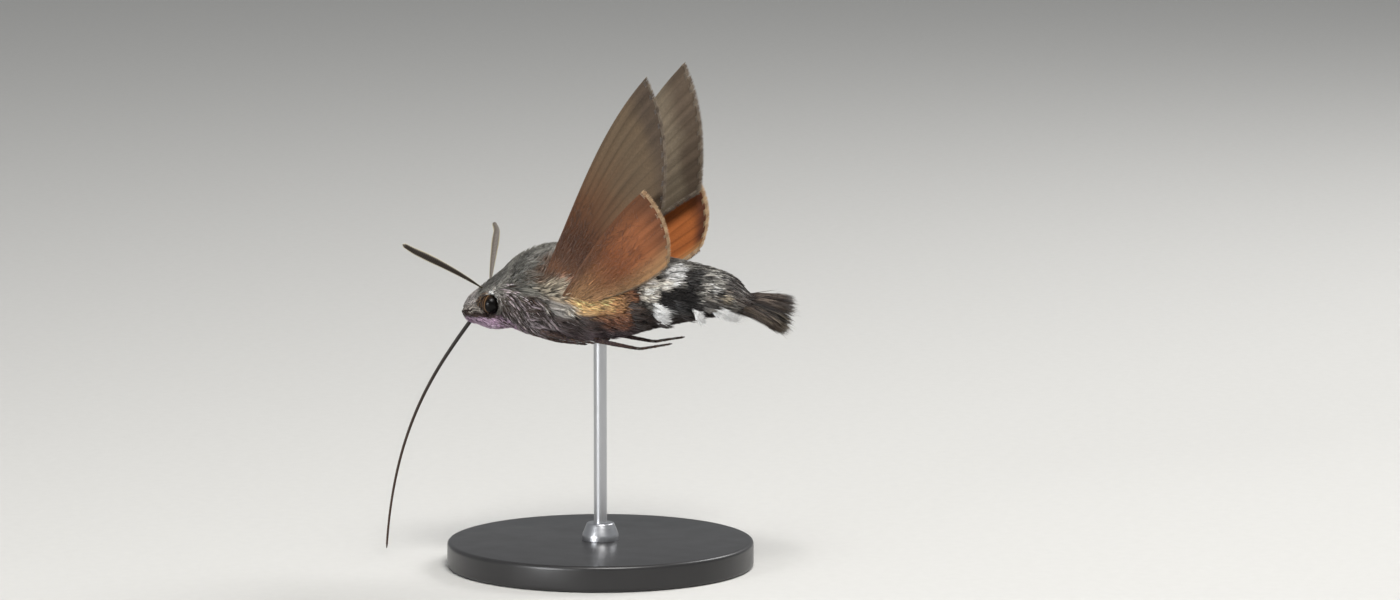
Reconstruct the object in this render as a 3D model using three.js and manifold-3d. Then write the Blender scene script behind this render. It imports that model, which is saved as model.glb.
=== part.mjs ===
// A hummingbird hawk moth hovering with raised wings, life size, on a small display stand.
// Millimetres, +Z up, the head towards -Y and the left side on +X.
// The origin is under the middle of the stand's base.
import * as THREE from "three";
import { mergeVertices } from "three/addons/utils/BufferGeometryUtils.js";
import Module from "manifold-3d";

const wasm = await Module();
wasm.setup();

// Sizes that drive the rest. The animal has a frame of its own: x out to the left,
// y from head to tail, z up from the body's axis.
const AXIS_HEIGHT = 24.5; // body axis above the floor, so that the tongue clears it
const GAP = 0.3; // space that neighbouring pieces keep
const THIN = 0.5; // least thickness of membranes, legs and feelers
const HEAD_BACK = -8.3;
const THORAX_FRONT = HEAD_BACK + GAP;
const THORAX_BACK = 2.0;
const ABDOMEN_FRONT = THORAX_BACK + GAP;
const ABDOMEN_BACK = 13.6;
const FAN_FRONT = ABDOMEN_BACK + GAP;

// Rows of a body: y, height of the centre, half width, height above and below the centre.
const HEAD = [
  [-12.7, -0.85, 0.8, 0.6, 0.5],
  [-11.9, -0.6, 1.35, 1.15, 0.85],
  [-11.2, -0.45, 1.7, 1.5, 1.05],
  [-10.2, -0.2, 2.05, 2.05, 1.6],
  [-9.2, 0.1, 2.35, 2.5, 2.3],
  [HEAD_BACK, 0.3, 2.6, 3.05, 2.75],
];
const FACE_DEPTH = 1.6; // over which the front of the head is rounded
const THORAX = [
  [THORAX_FRONT, 0.3, 2.8, 3.3, 3.15],
  [-6.8, 0.5, 3.5, 3.9, 3.6],
  [-4.8, 0.7, 4.1, 4.35, 3.85],
  [-2.4, 0.8, 4.35, 4.4, 3.95],
  [0, 0.85, 4.25, 4.1, 3.95],
  [THORAX_BACK, 0.85, 4.0, 3.7, 3.75],
];
const ABDOMEN = [
  [ABDOMEN_FRONT, 0.85, 3.9, 3.6, 3.65],
  [5.0, 0.9, 4.1, 3.4, 3.2],
  [8.0, 1.0, 3.95, 3.05, 2.7],
  [10.0, 1.0, 3.6, 2.65, 2.2],
  [12.0, 0.9, 2.9, 2.15, 1.85],
  [13.0, 0.8, 2.35, 1.7, 1.55],
  [ABDOMEN_BACK, 0.6, 1.75, 1.1, 1.15],
];

// Rows of one lip feeler, about a middle line to the side of the animal's own.
const PALP = [
  [-13.0, -1.15, 0.28, 0.35, 0.35],
  [-12.4, -1.25, 0.62, 0.75, 0.75],
  [-11.2, -1.55, 0.9, 1.05, 0.95],
  [-9.8, -1.9, 1.05, 1.0, 1.0],
  [HEAD_BACK, -2.0, 1.1, 1.0, 0.9],
];
const PALP_OUT = 1.1;

const EYE = { radius: 1.0, out: 1.72, y: -9.9, z: -0.45 };

// Feelers: where each one rises from the head and where its tip stands.
const FEELER = {
  root: [1.0, -10.9, 1.0],
  leftTip: [7.5, -16.35, 5.55],
  rightTip: [-8.8, -12.3, 5.55],
  club: 0.34,
  swellsFrom: 0.1,
  swellsTo: 0.65,
  tapersFrom: 0.9,
  bow: 0.7,
};

// The tongue's course in the middle plane, from the mouth to its tip.
const TONGUE = [
  [0, -11.9, -1.7],
  [0, -15.2, -6.3],
  [0, -19.7, -11.8],
  [0, -20.5, -23.9],
];
const TONGUE_RADIUS = 0.27;

// Wings: corners of the left one, how far each edge bows out of its chord, and the main
// veins, each by its share of the way from the leading to the trailing edge, at the root
// and at the outer edge.
const FOREWING = {
  costalRoot: [3.2, -4.7, 1.9],
  analRoot: [3.4, -2.2, 1.7],
  apex: [6.6, 6.3, 21.3],
  tornus: [6.45, 7.75, 9.5],
  costaBow: [0.3, 1.9],
  termenBow: [1.3, 0.9],
  innerBow: [-0.2, -0.7],
  camber: 0.5,
  stations: 10,
  veins: [
    [0.03, 0.02],
    [0.12, 0.09],
    [0.22, 0.18],
    [0.32, 0.28],
    [0.42, 0.39],
    [0.52, 0.51],
    [0.63, 0.63],
    [0.74, 0.76],
    [0.88, 0.9],
  ],
};
const HINDWING = {
  costalRoot: [3.9, -2.6, 0.7],
  analRoot: [3.9, 0.2, 0.3],
  apex: [8.2, 6.5, 11.3],
  tornus: [5.75, 8.0, 4.4],
  costaBow: [0.4, 0.9],
  termenBow: [1.5, 1.3],
  innerBow: [0.6, 0.9],
  camber: -0.3,
  stations: 8,
  veins: [
    [0.05, 0.03],
    [0.19, 0.16],
    [0.33, 0.32],
    [0.46, 0.48],
    [0.59, 0.63],
    [0.73, 0.78],
    [0.88, 0.91],
  ],
};

const VEIN = { halfWidth: 0.2, rootRise: 0.14, edgeRise: 0.1, spreadsFrom: 0.25, least: 0.012 };

// The room kept free for a wing's root: from and to which share of its length, and how much
// wider than the gap it is at the wing's edges.
const ROOM = { from: -0.1, to: 0.6, ease: 1.3 };

// Legs of the left side: hip, knee, ankle and toe.
const LEGS = {
  foreleg: [
    [0.7, -3.3, -3.7],
    [1.3, -5.5, -3.6],
    [1.6, -3.4, -3.75],
    [1.4, -1.2, -3.9],
  ],
  midleg: [
    [2.3, -2.3, -3.5],
    [3.2, -4.7, -2.95],
    [2.9, -2.4, -3.4],
    [2.6, -0.6, -3.75],
  ],
  hindleg: [
    [1.3, 1.2, -3.55],
    [2.6, 0.6, -3.4],
    [2.4, 3.4, -3.6],
    [2.2, 7.5, -3.6],
  ],
};
const LEG_RADIUS = [0.36, 0.33, 0.27, 0.25];

// Locks of the coat: how thick each one is, how deep its root sinks, how far chance moves it.
const LOCK = { thick: 0.5, tip: 0.1, sink: 0.45, stray: 0.16, turnStray: 3, seed: 7 };

// A lock's outline: at a share of its length, its share of the full width and thickness.
const LOCK_OUTLINE = [
  [0, 0.62, 1],
  [0.38, 1, 1],
  [0.74, 0.8, 0.8],
];

// Tiers of locks on the left side. A tier runs from one place to another, each a y and a
// turn in degrees from the side up to the back, and its locks reach on by their own step.
const THORAX_TIERS = [
  { from: [-7.3, 62], to: [-7.2, 26], count: 3, reach: [3.4, 2], width: 1.5, rise: 0.1 },
  { from: [-7.4, 8], to: [-7.0, -52], count: 5, reach: [3.7, -8], width: 1.3, rise: 0.12 },
  { from: [-4.6, -8], to: [-4.4, -50], count: 4, reach: [3.5, -6], width: 1.4, rise: 0.14 },
  { from: [-1.9, 72], to: [-1.9, 40], count: 3, reach: [3.4, 0], width: 1.6, rise: 0.1 },
  { from: [-1.7, -22], to: [-1.6, -56], count: 4, reach: [3.2, 2], width: 1.4, rise: 0.12 },
];
const ABDOMEN_TIERS = [
  { from: [3.2, -14], to: [3.2, -44], count: 3, reach: [2.7, -2], width: 1.2, rise: 0.35 },
  { from: [5.5, -12], to: [5.5, -50], count: 4, reach: [2.6, -3], width: 1.2, rise: 0.55 },
  { from: [7.9, -10], to: [7.9, -46], count: 3, reach: [2.5, -3], width: 1.1, rise: 0.5 },
  { from: [10.2, -12], to: [10.2, -52], count: 4, reach: [2.6, -4], width: 1.1, rise: 0.75 },
];
const HEAD_TIERS = [
  { from: [-10.1, 40], to: [-10.0, 8], count: 3, reach: [1.7, 0], width: 1.0, rise: 0.08 },
];

// The abdomen's rings end here, each one standing a little over the next.
const SEGMENT_ENDS = [4.3, 6.4, 8.5, 10.5, 12.2, ABDOMEN_BACK];
const SEGMENT_STEP = 0.13;

// Tail fan: its core, and the tiers of long scales, each with its height over the middle.
const FAN = {
  core: [
    [FAN_FRONT, 0.4, 1.5, 0.75, 0.85],
    [15.0, 0.25, 1.75, 0.55, 0.65],
    [16.1, 0.0, 1.9, 0.3, 0.32],
  ],
  tiers: [
    { count: 7, lift: 0.32, length: 4.1, spread: 0.8 },
    { count: 9, lift: 0, length: 4.75, spread: 1 },
    { count: 7, lift: -0.36, length: 4.3, spread: 0.86 },
  ],
  rootHalf: 1.15,
  rootSink: 0.3,
  tipHalf: 3.7,
  tierSpread: 0.6,
  curve: 0.08,
  droop: 1.35,
  roll: 18,
  width: 1.15,
};

const STAND = {
  baseRadius: 14,
  baseHeight: 2.4,
  bevel: 0.4,
  rodRadius: 0.6,
  collarRadius: 1.7,
  collarHeight: 1.3,
};

const MATERIALS = {
  fur: new THREE.MeshStandardMaterial({ color: 0x5c554c, roughness: 0.95 }),
  forewing: new THREE.MeshStandardMaterial({ color: 0x5f4a3c, roughness: 0.8 }),
  hindwing: new THREE.MeshStandardMaterial({ color: 0xc06a22, roughness: 0.8 }),
  tuft: new THREE.MeshStandardMaterial({ color: 0x2e2723, roughness: 0.95 }),
  pale: new THREE.MeshStandardMaterial({ color: 0xa79aa0, roughness: 0.95 }),
  horn: new THREE.MeshStandardMaterial({ color: 0x231a15, roughness: 0.45 }),
  eye: new THREE.MeshStandardMaterial({ color: 0x1c100a, roughness: 0.15 }),
  base: new THREE.MeshStandardMaterial({ color: 0x17181a, roughness: 0.35 }),
  steel: new THREE.MeshStandardMaterial({
    color: 0xb8babd,
    roughness: 0.3,
    metalness: 1,
  }),
};

const vec = (p) => new THREE.Vector3(...p);
const mix = THREE.MathUtils.lerp;
const steps = (n) => Array.from({ length: n + 1 }, (_, i) => i / n);
const onSide = (p, side) => new THREE.Vector3(p[0] * side, p[1], p[2]);

// A closed body through rings of points. Point i of a ring faces point n - 1 - i, so that
// the caps are strips, and both faces of a thin plate are split along the same diagonals.
function loft(rings) {
  const count = rings[0].length;
  const half = count / 2;
  const last = (rings.length - 1) * count;
  const index = [];
  for (let j = 0; j < rings.length - 1; j++) {
    for (let i = 0; i < count; i++) {
      const a = j * count + i;
      const b = j * count + ((i + 1) % count);
      const c = a + count;
      const d = b + count;
      if (i < half) index.push(a, b, d, a, d, c);
      else index.push(a, b, c, b, d, c);
    }
  }
  for (let i = 0; i < half - 1; i++) {
    const p = i;
    const q = i + 1;
    const r = count - 2 - i;
    const s = count - 1 - i;
    index.push(q, p, s, q, s, r);
    index.push(last + p, last + q, last + s, last + q, last + r, last + s);
  }
  return solid(rings.flat(), index);
}

// A solid of points and triangles, turned to face outwards.
function solid(points, index) {
  let volume = 0;
  for (let t = 0; t < index.length; t += 3) {
    const [a, b, c] = [points[index[t]], points[index[t + 1]], points[index[t + 2]]];
    volume += a.dot(b.clone().cross(c));
  }
  const triVerts = new Uint32Array(index);
  if (volume < 0) triVerts.reverse();
  const vertProperties = new Float32Array(points.flatMap((p) => [p.x, p.y, p.z]));
  return new wasm.Manifold(new wasm.Mesh({ numProp: 3, vertProperties, triVerts }));
}

// A three.js geometry as a solid.
function solidOf(geometry) {
  const bare = geometry.clone();
  bare.deleteAttribute("normal");
  bare.deleteAttribute("uv");
  const merged = mergeVertices(bare, 1e-4);
  const position = merged.getAttribute("position");
  const points = Array.from({ length: position.count }, (_, i) =>
    new THREE.Vector3().fromBufferAttribute(position, i),
  );
  return solid(points, Array.from(merged.index.array));
}

// The largest closed surface of a solid.
function largest(body) {
  return body.decompose().reduce((a, b) => (a.volume() > b.volume() ? a : b));
}

// Ring of an upright ellipse with its own heights above and below, at one y.
function ellipseRing(y, z, width, above, below, sides) {
  return Array.from({ length: sides }, (_, i) => {
    const turn = ((i + 0.5) / sides) * 2 * Math.PI;
    const rise = Math.sin(turn);
    return new THREE.Vector3(
      width * Math.cos(turn),
      y,
      z + rise * (rise > 0 ? above : below),
    );
  });
}

// Smooth values between a body's rows.
function profileOf(rows) {
  const between = new THREE.CubicInterpolant(
    rows.map((row) => row[0]),
    rows.flatMap((row) => row.slice(1)),
    4,
  );
  return (y) => Array.from(between.evaluate(y));
}

// The body of some rows, grown by a margin, its front rounded over a depth.
function bodyLoft(rows, { rings, sides, grow = 0, dome = 0 }) {
  const profile = profileOf(rows);
  const front = rows[0][0];
  const back = rows[rows.length - 1][0];
  return loft(
    steps(rings).map((t) => {
      const y = mix(front, back, dome ? t ** 1.5 : t);
      const [z, width, above, below] = profile(y);
      const inDome = Math.min(1, (y - front) / (dome || 1));
      const shrink = dome ? Math.sqrt(1 - (1 - inDome) ** 2) * 0.85 + 0.15 : 1;
      const at = y - (t === 0 ? grow : 0) + (t === 1 ? grow : 0);
      return ellipseRing(
        at,
        z,
        width * shrink + grow,
        above * shrink + grow,
        below * shrink + grow,
        sides,
      );
    }),
  );
}

// A round tube along a curve, its radius a function of the share of its length.
function tube(curve, radius, { rings, sides }) {
  const frames = curve.computeFrenetFrames(rings, false);
  return loft(
    steps(rings).map((t, j) => {
      const centre = curve.getPointAt(t);
      return Array.from({ length: sides }, (_, i) => {
        const turn = ((i + 0.5) / sides) * 2 * Math.PI;
        return centre
          .clone()
          .addScaledVector(frames.normals[j], radius(t) * Math.cos(turn))
          .addScaledVector(frames.binormals[j], radius(t) * Math.sin(turn));
      });
    }),
  );
}

// A flat lock along a curve: narrow at its root, widest past the middle, fine at its tip.
function blade(curve, normal, width) {
  return loft(
    [...LOCK_OUTLINE, [1, LOCK.tip / width, LOCK.tip / LOCK.thick]].map(([t, wide, thick]) => {
      const centre = curve.getPoint(t);
      const across = curve.getTangent(t).cross(normal).normalize();
      const up = across.clone().cross(curve.getTangent(t)).normalize();
      const half = across.multiplyScalar((width * wide) / 2);
      const depth = up.multiplyScalar((LOCK.thick * thick) / 2);
      return [
        centre.clone().add(half),
        centre.clone().add(depth),
        centre.clone().sub(half),
        centre.clone().sub(depth),
      ];
    }),
  );
}

// A draw between -1 and 1 from the seeded run of chance.
const chance = () => THREE.MathUtils.seededRandom() * 2 - 1;

// A body's surface: the point and the outward direction at a y and a turn.
function surfaceOf(rows, side) {
  const profile = profileOf(rows);
  return (y, degrees) => {
    const turn = THREE.MathUtils.degToRad(degrees);
    const [z, width, above, below] = profile(y);
    const height = turn > 0 ? above : below;
    return {
      point: new THREE.Vector3(width * Math.cos(turn) * side, y, z + height * Math.sin(turn)),
      normal: new THREE.Vector3(
        (Math.cos(turn) / width) * side,
        0,
        Math.sin(turn) / height,
      ).normalize(),
    };
  };
}

// Tiers of locks that leave a body's surface and lie back over it.
function locksOn(rows, tiers, side) {
  const surface = surfaceOf(rows, side);
  return tiers.flatMap(({ from, to, count, reach, width, rise }) =>
    steps(count - 1).map((t) => {
      const y = mix(from[0], to[0], t) + LOCK.stray * chance();
      const turn = mix(from[1], to[1], t) + LOCK.turnStray * chance();
      const size = 1 + LOCK.stray * chance();
      const root = surface(y, turn);
      const over = surface(y + reach[0] * 0.5, turn + reach[1] * 0.5);
      const tip = surface(y + reach[0] * size, turn + reach[1] * size);
      const curve = new THREE.QuadraticBezierCurve3(
        root.point.addScaledVector(root.normal, -LOCK.sink),
        over.point.addScaledVector(over.normal, LOCK.thick * 0.5 + rise * 0.7),
        tip.point.addScaledVector(tip.normal, rise),
      );
      return blade(curve, over.normal, width * size);
    }),
  );
}

// A body joined with its locks, each of them cut clear of what stands beside it.
function withLocks(body, locks, room = []) {
  const coat = wasm.Manifold.union(locks);
  return largest(body.add(room.length ? coat.subtract(wasm.Manifold.union(room)) : coat));
}

// A surface between a wing's four edges, as a function of the share w of the way from its
// leading to its trailing edge and the share r from its root to its outer edge.
function wingSurface(wing, side) {
  const [costalRoot, analRoot, apex, tornus] = [
    wing.costalRoot,
    wing.analRoot,
    wing.apex,
    wing.tornus,
  ].map((p) => onSide(p, side));
  const span = apex.clone().sub(costalRoot).normalize();
  const chord = tornus.clone().sub(costalRoot);
  chord.addScaledVector(span, -chord.dot(span)).normalize();
  const up = span.clone().cross(chord).multiplyScalar(side).normalize();
  const termen = tornus.clone().sub(apex).normalize();
  const outwards = span.clone().addScaledVector(termen, -span.dot(termen)).normalize();

  const edge = (from, to, bows, along) =>
    new THREE.CubicBezierCurve3(
      from,
      from.clone().lerp(to, 1 / 3).addScaledVector(along, bows[0]),
      from.clone().lerp(to, 2 / 3).addScaledVector(along, bows[1]),
      to,
    );
  const costa = edge(costalRoot, apex, wing.costaBow, chord.clone().negate());
  const inner = edge(analRoot, tornus, wing.innerBow, chord);
  const outer = edge(apex, tornus, wing.termenBow, outwards);

  const at = (w, r) => {
    const corners = costalRoot
      .clone()
      .lerp(analRoot, w)
      .lerp(apex.clone().lerp(tornus, w), r);
    return costa
      .getPoint(r)
      .lerp(inner.getPoint(r), w)
      .add(costalRoot.clone().lerp(analRoot, w).lerp(outer.getPoint(w), r))
      .sub(corners)
      .addScaledVector(up, wing.camber * 4 * w * (1 - w) * Math.sin(Math.PI * r * 0.75));
  };
  return { at, up };
}

// The places of a line, kept in order and a little apart where they bunch.
function separated(places) {
  let last = -1;
  return places.map(([w, rise], i) => {
    const room = 1 - (places.length - 1 - i) * VEIN.least;
    last = Math.min(Math.max(w, last + VEIN.least), room);
    return [i ? last : 0, rise];
  });
}

// One ring of a plate: its upper face out and its lower face back.
function plateRing(line, at, up, thickness, rise) {
  const face = (sign) =>
    line.map(([w, lift]) => at(w).addScaledVector(up, sign * (thickness / 2 + lift * rise)));
  return [...face(1), ...face(-1).reverse()];
}

// A wing as a plate whose main veins stand up as ridges on both faces.
function wingPlate(wing, side) {
  const { at, up } = wingSurface(wing, side);
  return loft(
    steps(wing.stations).map((r) => {
      const half = VEIN.halfWidth / at(0, r).distanceTo(at(1, r));
      const spread = THREE.MathUtils.smoothstep(r, VEIN.spreadsFrom, 1);
      const places = [[0, 0], [1, 0]];
      for (const [stem, end] of wing.veins) {
        const w = mix(stem, end, spread);
        places.push([Math.max(w - half, w * 0.4), 0], [w, 1]);
        places.push([Math.min(w + half, mix(w, 1, 0.6)), 0]);
      }
      const line = separated(places.sort((a, b) => a[0] - b[0]));
      const rise = mix(VEIN.rootRise, VEIN.edgeRise, r);
      return plateRing(line, (w) => at(w, r), up, THIN, rise);
    }),
  );
}

// The room that a wing needs, with a gap all round.
function wingRoom(wing, side) {
  const { at, up } = wingSurface(wing, side);
  const margin = (GAP * ROOM.ease) / at(0, 0).distanceTo(at(1, 0));
  const line = steps(6).map((w) => [mix(-margin, 1 + margin, w), 0]);
  const thickness = THIN + 2 * (VEIN.rootRise + GAP);
  const reach = steps(5).map((t) => mix(ROOM.from, ROOM.to, t));
  return loft(reach.map((r) => plateRing(line, (w) => at(w, r), up, thickness, 0)));
}

const thoraxGrown = bodyLoft(THORAX, { rings: 10, sides: 24, grow: GAP });
const headGrown = bodyLoft(HEAD, { rings: 10, sides: 20, grow: GAP, dome: FACE_DEPTH });

function eyeball(radius, side) {
  const { out, y, z } = EYE;
  return solidOf(new THREE.SphereGeometry(radius, 14, 9)).translate(out * side, y, z);
}

function head() {
  const sockets = [1, -1].map((side) => eyeball(EYE.radius + GAP, side));
  const skull = bodyLoft(HEAD, { rings: 9, sides: 18, dome: FACE_DEPTH });
  const locks = [1, -1].flatMap((side) => locksOn(HEAD, HEAD_TIERS, side));
  const room = [...sockets, tongueTube(GAP), thoraxGrown];
  return withLocks(skull, locks, [thoraxGrown]).subtract(wasm.Manifold.union(room));
}

// The tongue, or with a margin the room that it needs.
function tongueTube(grow) {
  const points = TONGUE.map(vec);
  const start = points[0].clone().sub(points[1]).setLength(grow);
  points[0].add(start);
  const curve = new THREE.CubicBezierCurve3(...points);
  const radius = (t) => (TONGUE_RADIUS + grow) * mix(1, grow ? 1 : 0.5, t ** 6);
  return tube(curve, radius, { rings: 22, sides: 8 });
}

// One lip feeler, a plump upturned cone that covers half of the face from below.
function palp(side) {
  const length = PALP[PALP.length - 1][0] - PALP[0][0];
  const parting = new THREE.BoxGeometry(GAP, 2 * length, 2 * length);
  return largest(
    bodyLoft(PALP, { rings: 8, sides: 12 })
      .translate(PALP_OUT * side, 0, 0)
      .subtract(headGrown)
      .subtract(solidOf(parting).translate(0, PALP[0][0], 0))
      .subtract(eyeball(EYE.radius + GAP, side))
      .subtract(tongueTube(GAP)),
  );
}

function feeler(side) {
  const root = onSide(FEELER.root, side);
  const tip = vec(side > 0 ? FEELER.leftTip : FEELER.rightTip);
  const lift = new THREE.Vector3(0, 0, FEELER.bow);
  const curve = new THREE.CubicBezierCurve3(
    root,
    root.clone().lerp(tip, 1 / 3).addScaledVector(lift, 1),
    root.clone().lerp(tip, 2 / 3).addScaledVector(lift, 0.6),
    tip,
  );
  const swell = (t) => THREE.MathUtils.smoothstep(t, FEELER.swellsFrom, FEELER.swellsTo);
  const taper = (t) => Math.sqrt(1 - 0.85 * THREE.MathUtils.smoothstep(t, FEELER.tapersFrom, 1));
  const radius = (t) => mix(THIN / 2, FEELER.club, swell(t)) * taper(t);
  return largest(tube(curve, radius, { rings: 16, sides: 8 }).subtract(headGrown));
}

function leg(name, side) {
  const joints = LEGS[name].map((p) => onSide(p, side));
  const parts = joints.slice(0, -1).map((from, i) => {
    const reach = joints[i + 1].clone().sub(from);
    const overlap = reach.clone().setLength(LEG_RADIUS[i + 1] * 0.8);
    const course = new THREE.LineCurve3(
      from.clone().sub(i ? overlap : new THREE.Vector3()),
      joints[i + 1].clone().add(overlap),
    );
    const radius = (t) => mix(LEG_RADIUS[i], LEG_RADIUS[i + 1], t) * Math.sqrt(
      1 - 0.6 * THREE.MathUtils.smoothstep(Math.abs(t - 0.5), 0.38, 0.5),
    );
    return tube(course, radius, { rings: 4, sides: 6 });
  });
  return largest(wasm.Manifold.union(parts).subtract(thoraxGrown));
}

function thorax() {
  const sides = [1, -1];
  const locks = sides.flatMap((side) => locksOn(THORAX, THORAX_TIERS, side));
  const wings = sides.flatMap((side) => [wingRoom(FOREWING, side), wingRoom(HINDWING, side)]);
  return withLocks(bodyLoft(THORAX, { rings: 9, sides: 22 }), locks, wings);
}

function abdomen() {
  const profile = profileOf(ABDOMEN);
  const rings = SEGMENT_ENDS.flatMap((end, i) => {
    const start = i ? SEGMENT_ENDS[i - 1] + SEGMENT_STEP : ABDOMEN_FRONT;
    return [start, mix(start, end, 0.55), end].map((y, k) => {
      const [z, width, above, below] = profile(y);
      const sag = k ? 0 : SEGMENT_STEP;
      return ellipseRing(y, z, width - sag, above - sag, below - sag, 20);
    });
  });
  const locks = [1, -1].flatMap((side) => locksOn(ABDOMEN, ABDOMEN_TIERS, side));
  return withLocks(loft(rings), locks);
}

// The fan of long scales behind the abdomen, spread, drooping and rolled to the left.
function tailFan() {
  const [front, middle] = FAN.core;
  const locks = FAN.tiers.flatMap(({ count, lift, length, spread }) =>
    steps(count - 1).map((t) => {
      const share = (t * 2 - 1) * spread;
      const stray = 1 + (LOCK.stray / 2) * chance();
      const reach = length * stray * (1 - FAN.curve * share * share);
      const across = FAN.rootHalf * share;
      const height = front[1] + lift * FAN.tierSpread;
      const root = new THREE.Vector3(across, front[0] + FAN.rootSink, height);
      const tip = new THREE.Vector3(FAN.tipHalf * share, front[0] + reach, height - FAN.droop);
      const bend = root.clone().lerp(tip, 0.5).setZ(middle[1] + lift);
      const curve = new THREE.QuadraticBezierCurve3(root, bend, tip);
      return blade(curve, new THREE.Vector3(0, 0, 1), FAN.width);
    }),
  );
  const fan = withLocks(bodyLoft(FAN.core, { rings: 5, sides: 16 }), locks);
  const pivot = front[1];
  return fan.translate(0, 0, -pivot).rotate(0, FAN.roll, 0).translate(0, 0, pivot);
}

function wing(plan, side) {
  return largest(wingPlate(plan, side).subtract(thoraxGrown));
}

function standBase() {
  const { baseRadius: r, baseHeight: h, bevel } = STAND;
  const outline = [
    [0, 0],
    [r - bevel, 0],
    [r, bevel],
    [r, h - bevel],
    [r - bevel, h],
    [0, h],
  ].map((p) => new THREE.Vector2(...p));
  return solidOf(new THREE.LatheGeometry(outline, 40).rotateX(Math.PI / 2));
}

// A steel collar round the rod's foot.
function standCollar() {
  const inner = STAND.rodRadius + GAP;
  const foot = STAND.baseHeight + GAP;
  const outline = [
    [inner, foot],
    [STAND.collarRadius, foot],
    [STAND.collarRadius * 0.75, foot + STAND.collarHeight],
    [inner, foot + STAND.collarHeight],
    [inner, foot],
  ].map((p) => new THREE.Vector2(...p));
  return solidOf(new THREE.LatheGeometry(outline, 20).rotateX(Math.PI / 2));
}

function standRod() {
  const foot = STAND.baseHeight + GAP;
  const [z, , , below] = profileOf(THORAX)(0);
  const top = AXIS_HEIGHT + z - below - GAP;
  return solidOf(
    new THREE.CylinderGeometry(STAND.rodRadius, STAND.rodRadius, top - foot, 16)
      .rotateX(Math.PI / 2)
      .translate(0, 0, (foot + top) / 2),
  );
}

// A solid as a named mesh.
function meshOf(name, body, material) {
  const { vertProperties, triVerts, numProp, numVert } = body.getMesh();
  const position = new Float32Array(numVert * 3);
  for (let i = 0; i < numVert; i++) {
    position.set(vertProperties.subarray(i * numProp, i * numProp + 3), i * 3);
  }
  const geometry = new THREE.BufferGeometry()
    .setAttribute("position", new THREE.BufferAttribute(position, 3))
    .setIndex(new THREE.BufferAttribute(triVerts, 1));
  geometry.computeVertexNormals();
  const mesh = new THREE.Mesh(geometry, material);
  mesh.name = name;
  return mesh;
}

THREE.MathUtils.seededRandom(LOCK.seed);

const moth = new THREE.Group();
moth.position.z = AXIS_HEIGHT;
moth.add(
  meshOf("head", head(), MATERIALS.fur),
  meshOf("thorax", thorax(), MATERIALS.fur),
  meshOf("abdomen", abdomen(), MATERIALS.fur),
  meshOf("tail_fan", tailFan(), MATERIALS.tuft),
  meshOf("proboscis", largest(tongueTube(0)), MATERIALS.horn),
);
for (const [suffix, side] of [
  ["left", 1],
  ["right", -1],
]) {
  moth.add(
    meshOf(`eye_${suffix}`, eyeball(EYE.radius, side), MATERIALS.eye),
    meshOf(`palp_${suffix}`, palp(side), MATERIALS.pale),
    meshOf(`antenna_${suffix}`, feeler(side), MATERIALS.horn),
    meshOf(`forewing_${suffix}`, wing(FOREWING, side), MATERIALS.forewing),
    meshOf(`hindwing_${suffix}`, wing(HINDWING, side), MATERIALS.hindwing),
  );
  for (const name of Object.keys(LEGS)) {
    moth.add(meshOf(`${name}_${suffix}`, leg(name, side), MATERIALS.horn));
  }
}

const model = new THREE.Group();
model.add(
  moth,
  meshOf("stand_base", standBase(), MATERIALS.base),
  meshOf("stand_collar", standCollar(), MATERIALS.steel),
  meshOf("stand_rod", standRod(), MATERIALS.steel),
);

export default model;
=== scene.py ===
"""The looks of a hummingbird hawk moth, life size, hovering on a small display stand.

Lengths are in millimetres in the animal's own frame until a piece is made: x out to its
left, y from head to tail, z up from the body's axis. Each piece is then put in metres.
"""

import math

import bpy
import numpy as np
from mathutils import Matrix, Vector


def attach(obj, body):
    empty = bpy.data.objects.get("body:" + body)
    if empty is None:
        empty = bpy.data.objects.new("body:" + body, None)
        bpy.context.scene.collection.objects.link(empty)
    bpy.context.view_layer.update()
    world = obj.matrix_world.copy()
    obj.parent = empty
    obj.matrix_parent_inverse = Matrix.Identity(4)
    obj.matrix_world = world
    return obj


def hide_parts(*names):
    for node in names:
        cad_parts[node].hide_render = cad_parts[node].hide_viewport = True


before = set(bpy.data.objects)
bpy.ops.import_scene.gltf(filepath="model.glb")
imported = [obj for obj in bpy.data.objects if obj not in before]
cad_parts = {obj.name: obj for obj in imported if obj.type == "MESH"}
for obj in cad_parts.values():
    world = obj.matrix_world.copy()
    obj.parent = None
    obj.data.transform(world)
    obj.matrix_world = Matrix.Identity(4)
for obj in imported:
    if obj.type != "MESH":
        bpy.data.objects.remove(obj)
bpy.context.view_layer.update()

MM = 0.001
DEG = math.pi / 180
# The height of the body's axis over the floor.
AXIS_HEIGHT = 24.5
# Which way x runs on each side of the animal.
ENDS = ((1, "left"), (-1, "right"))
rng = np.random.default_rng(11)

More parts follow.
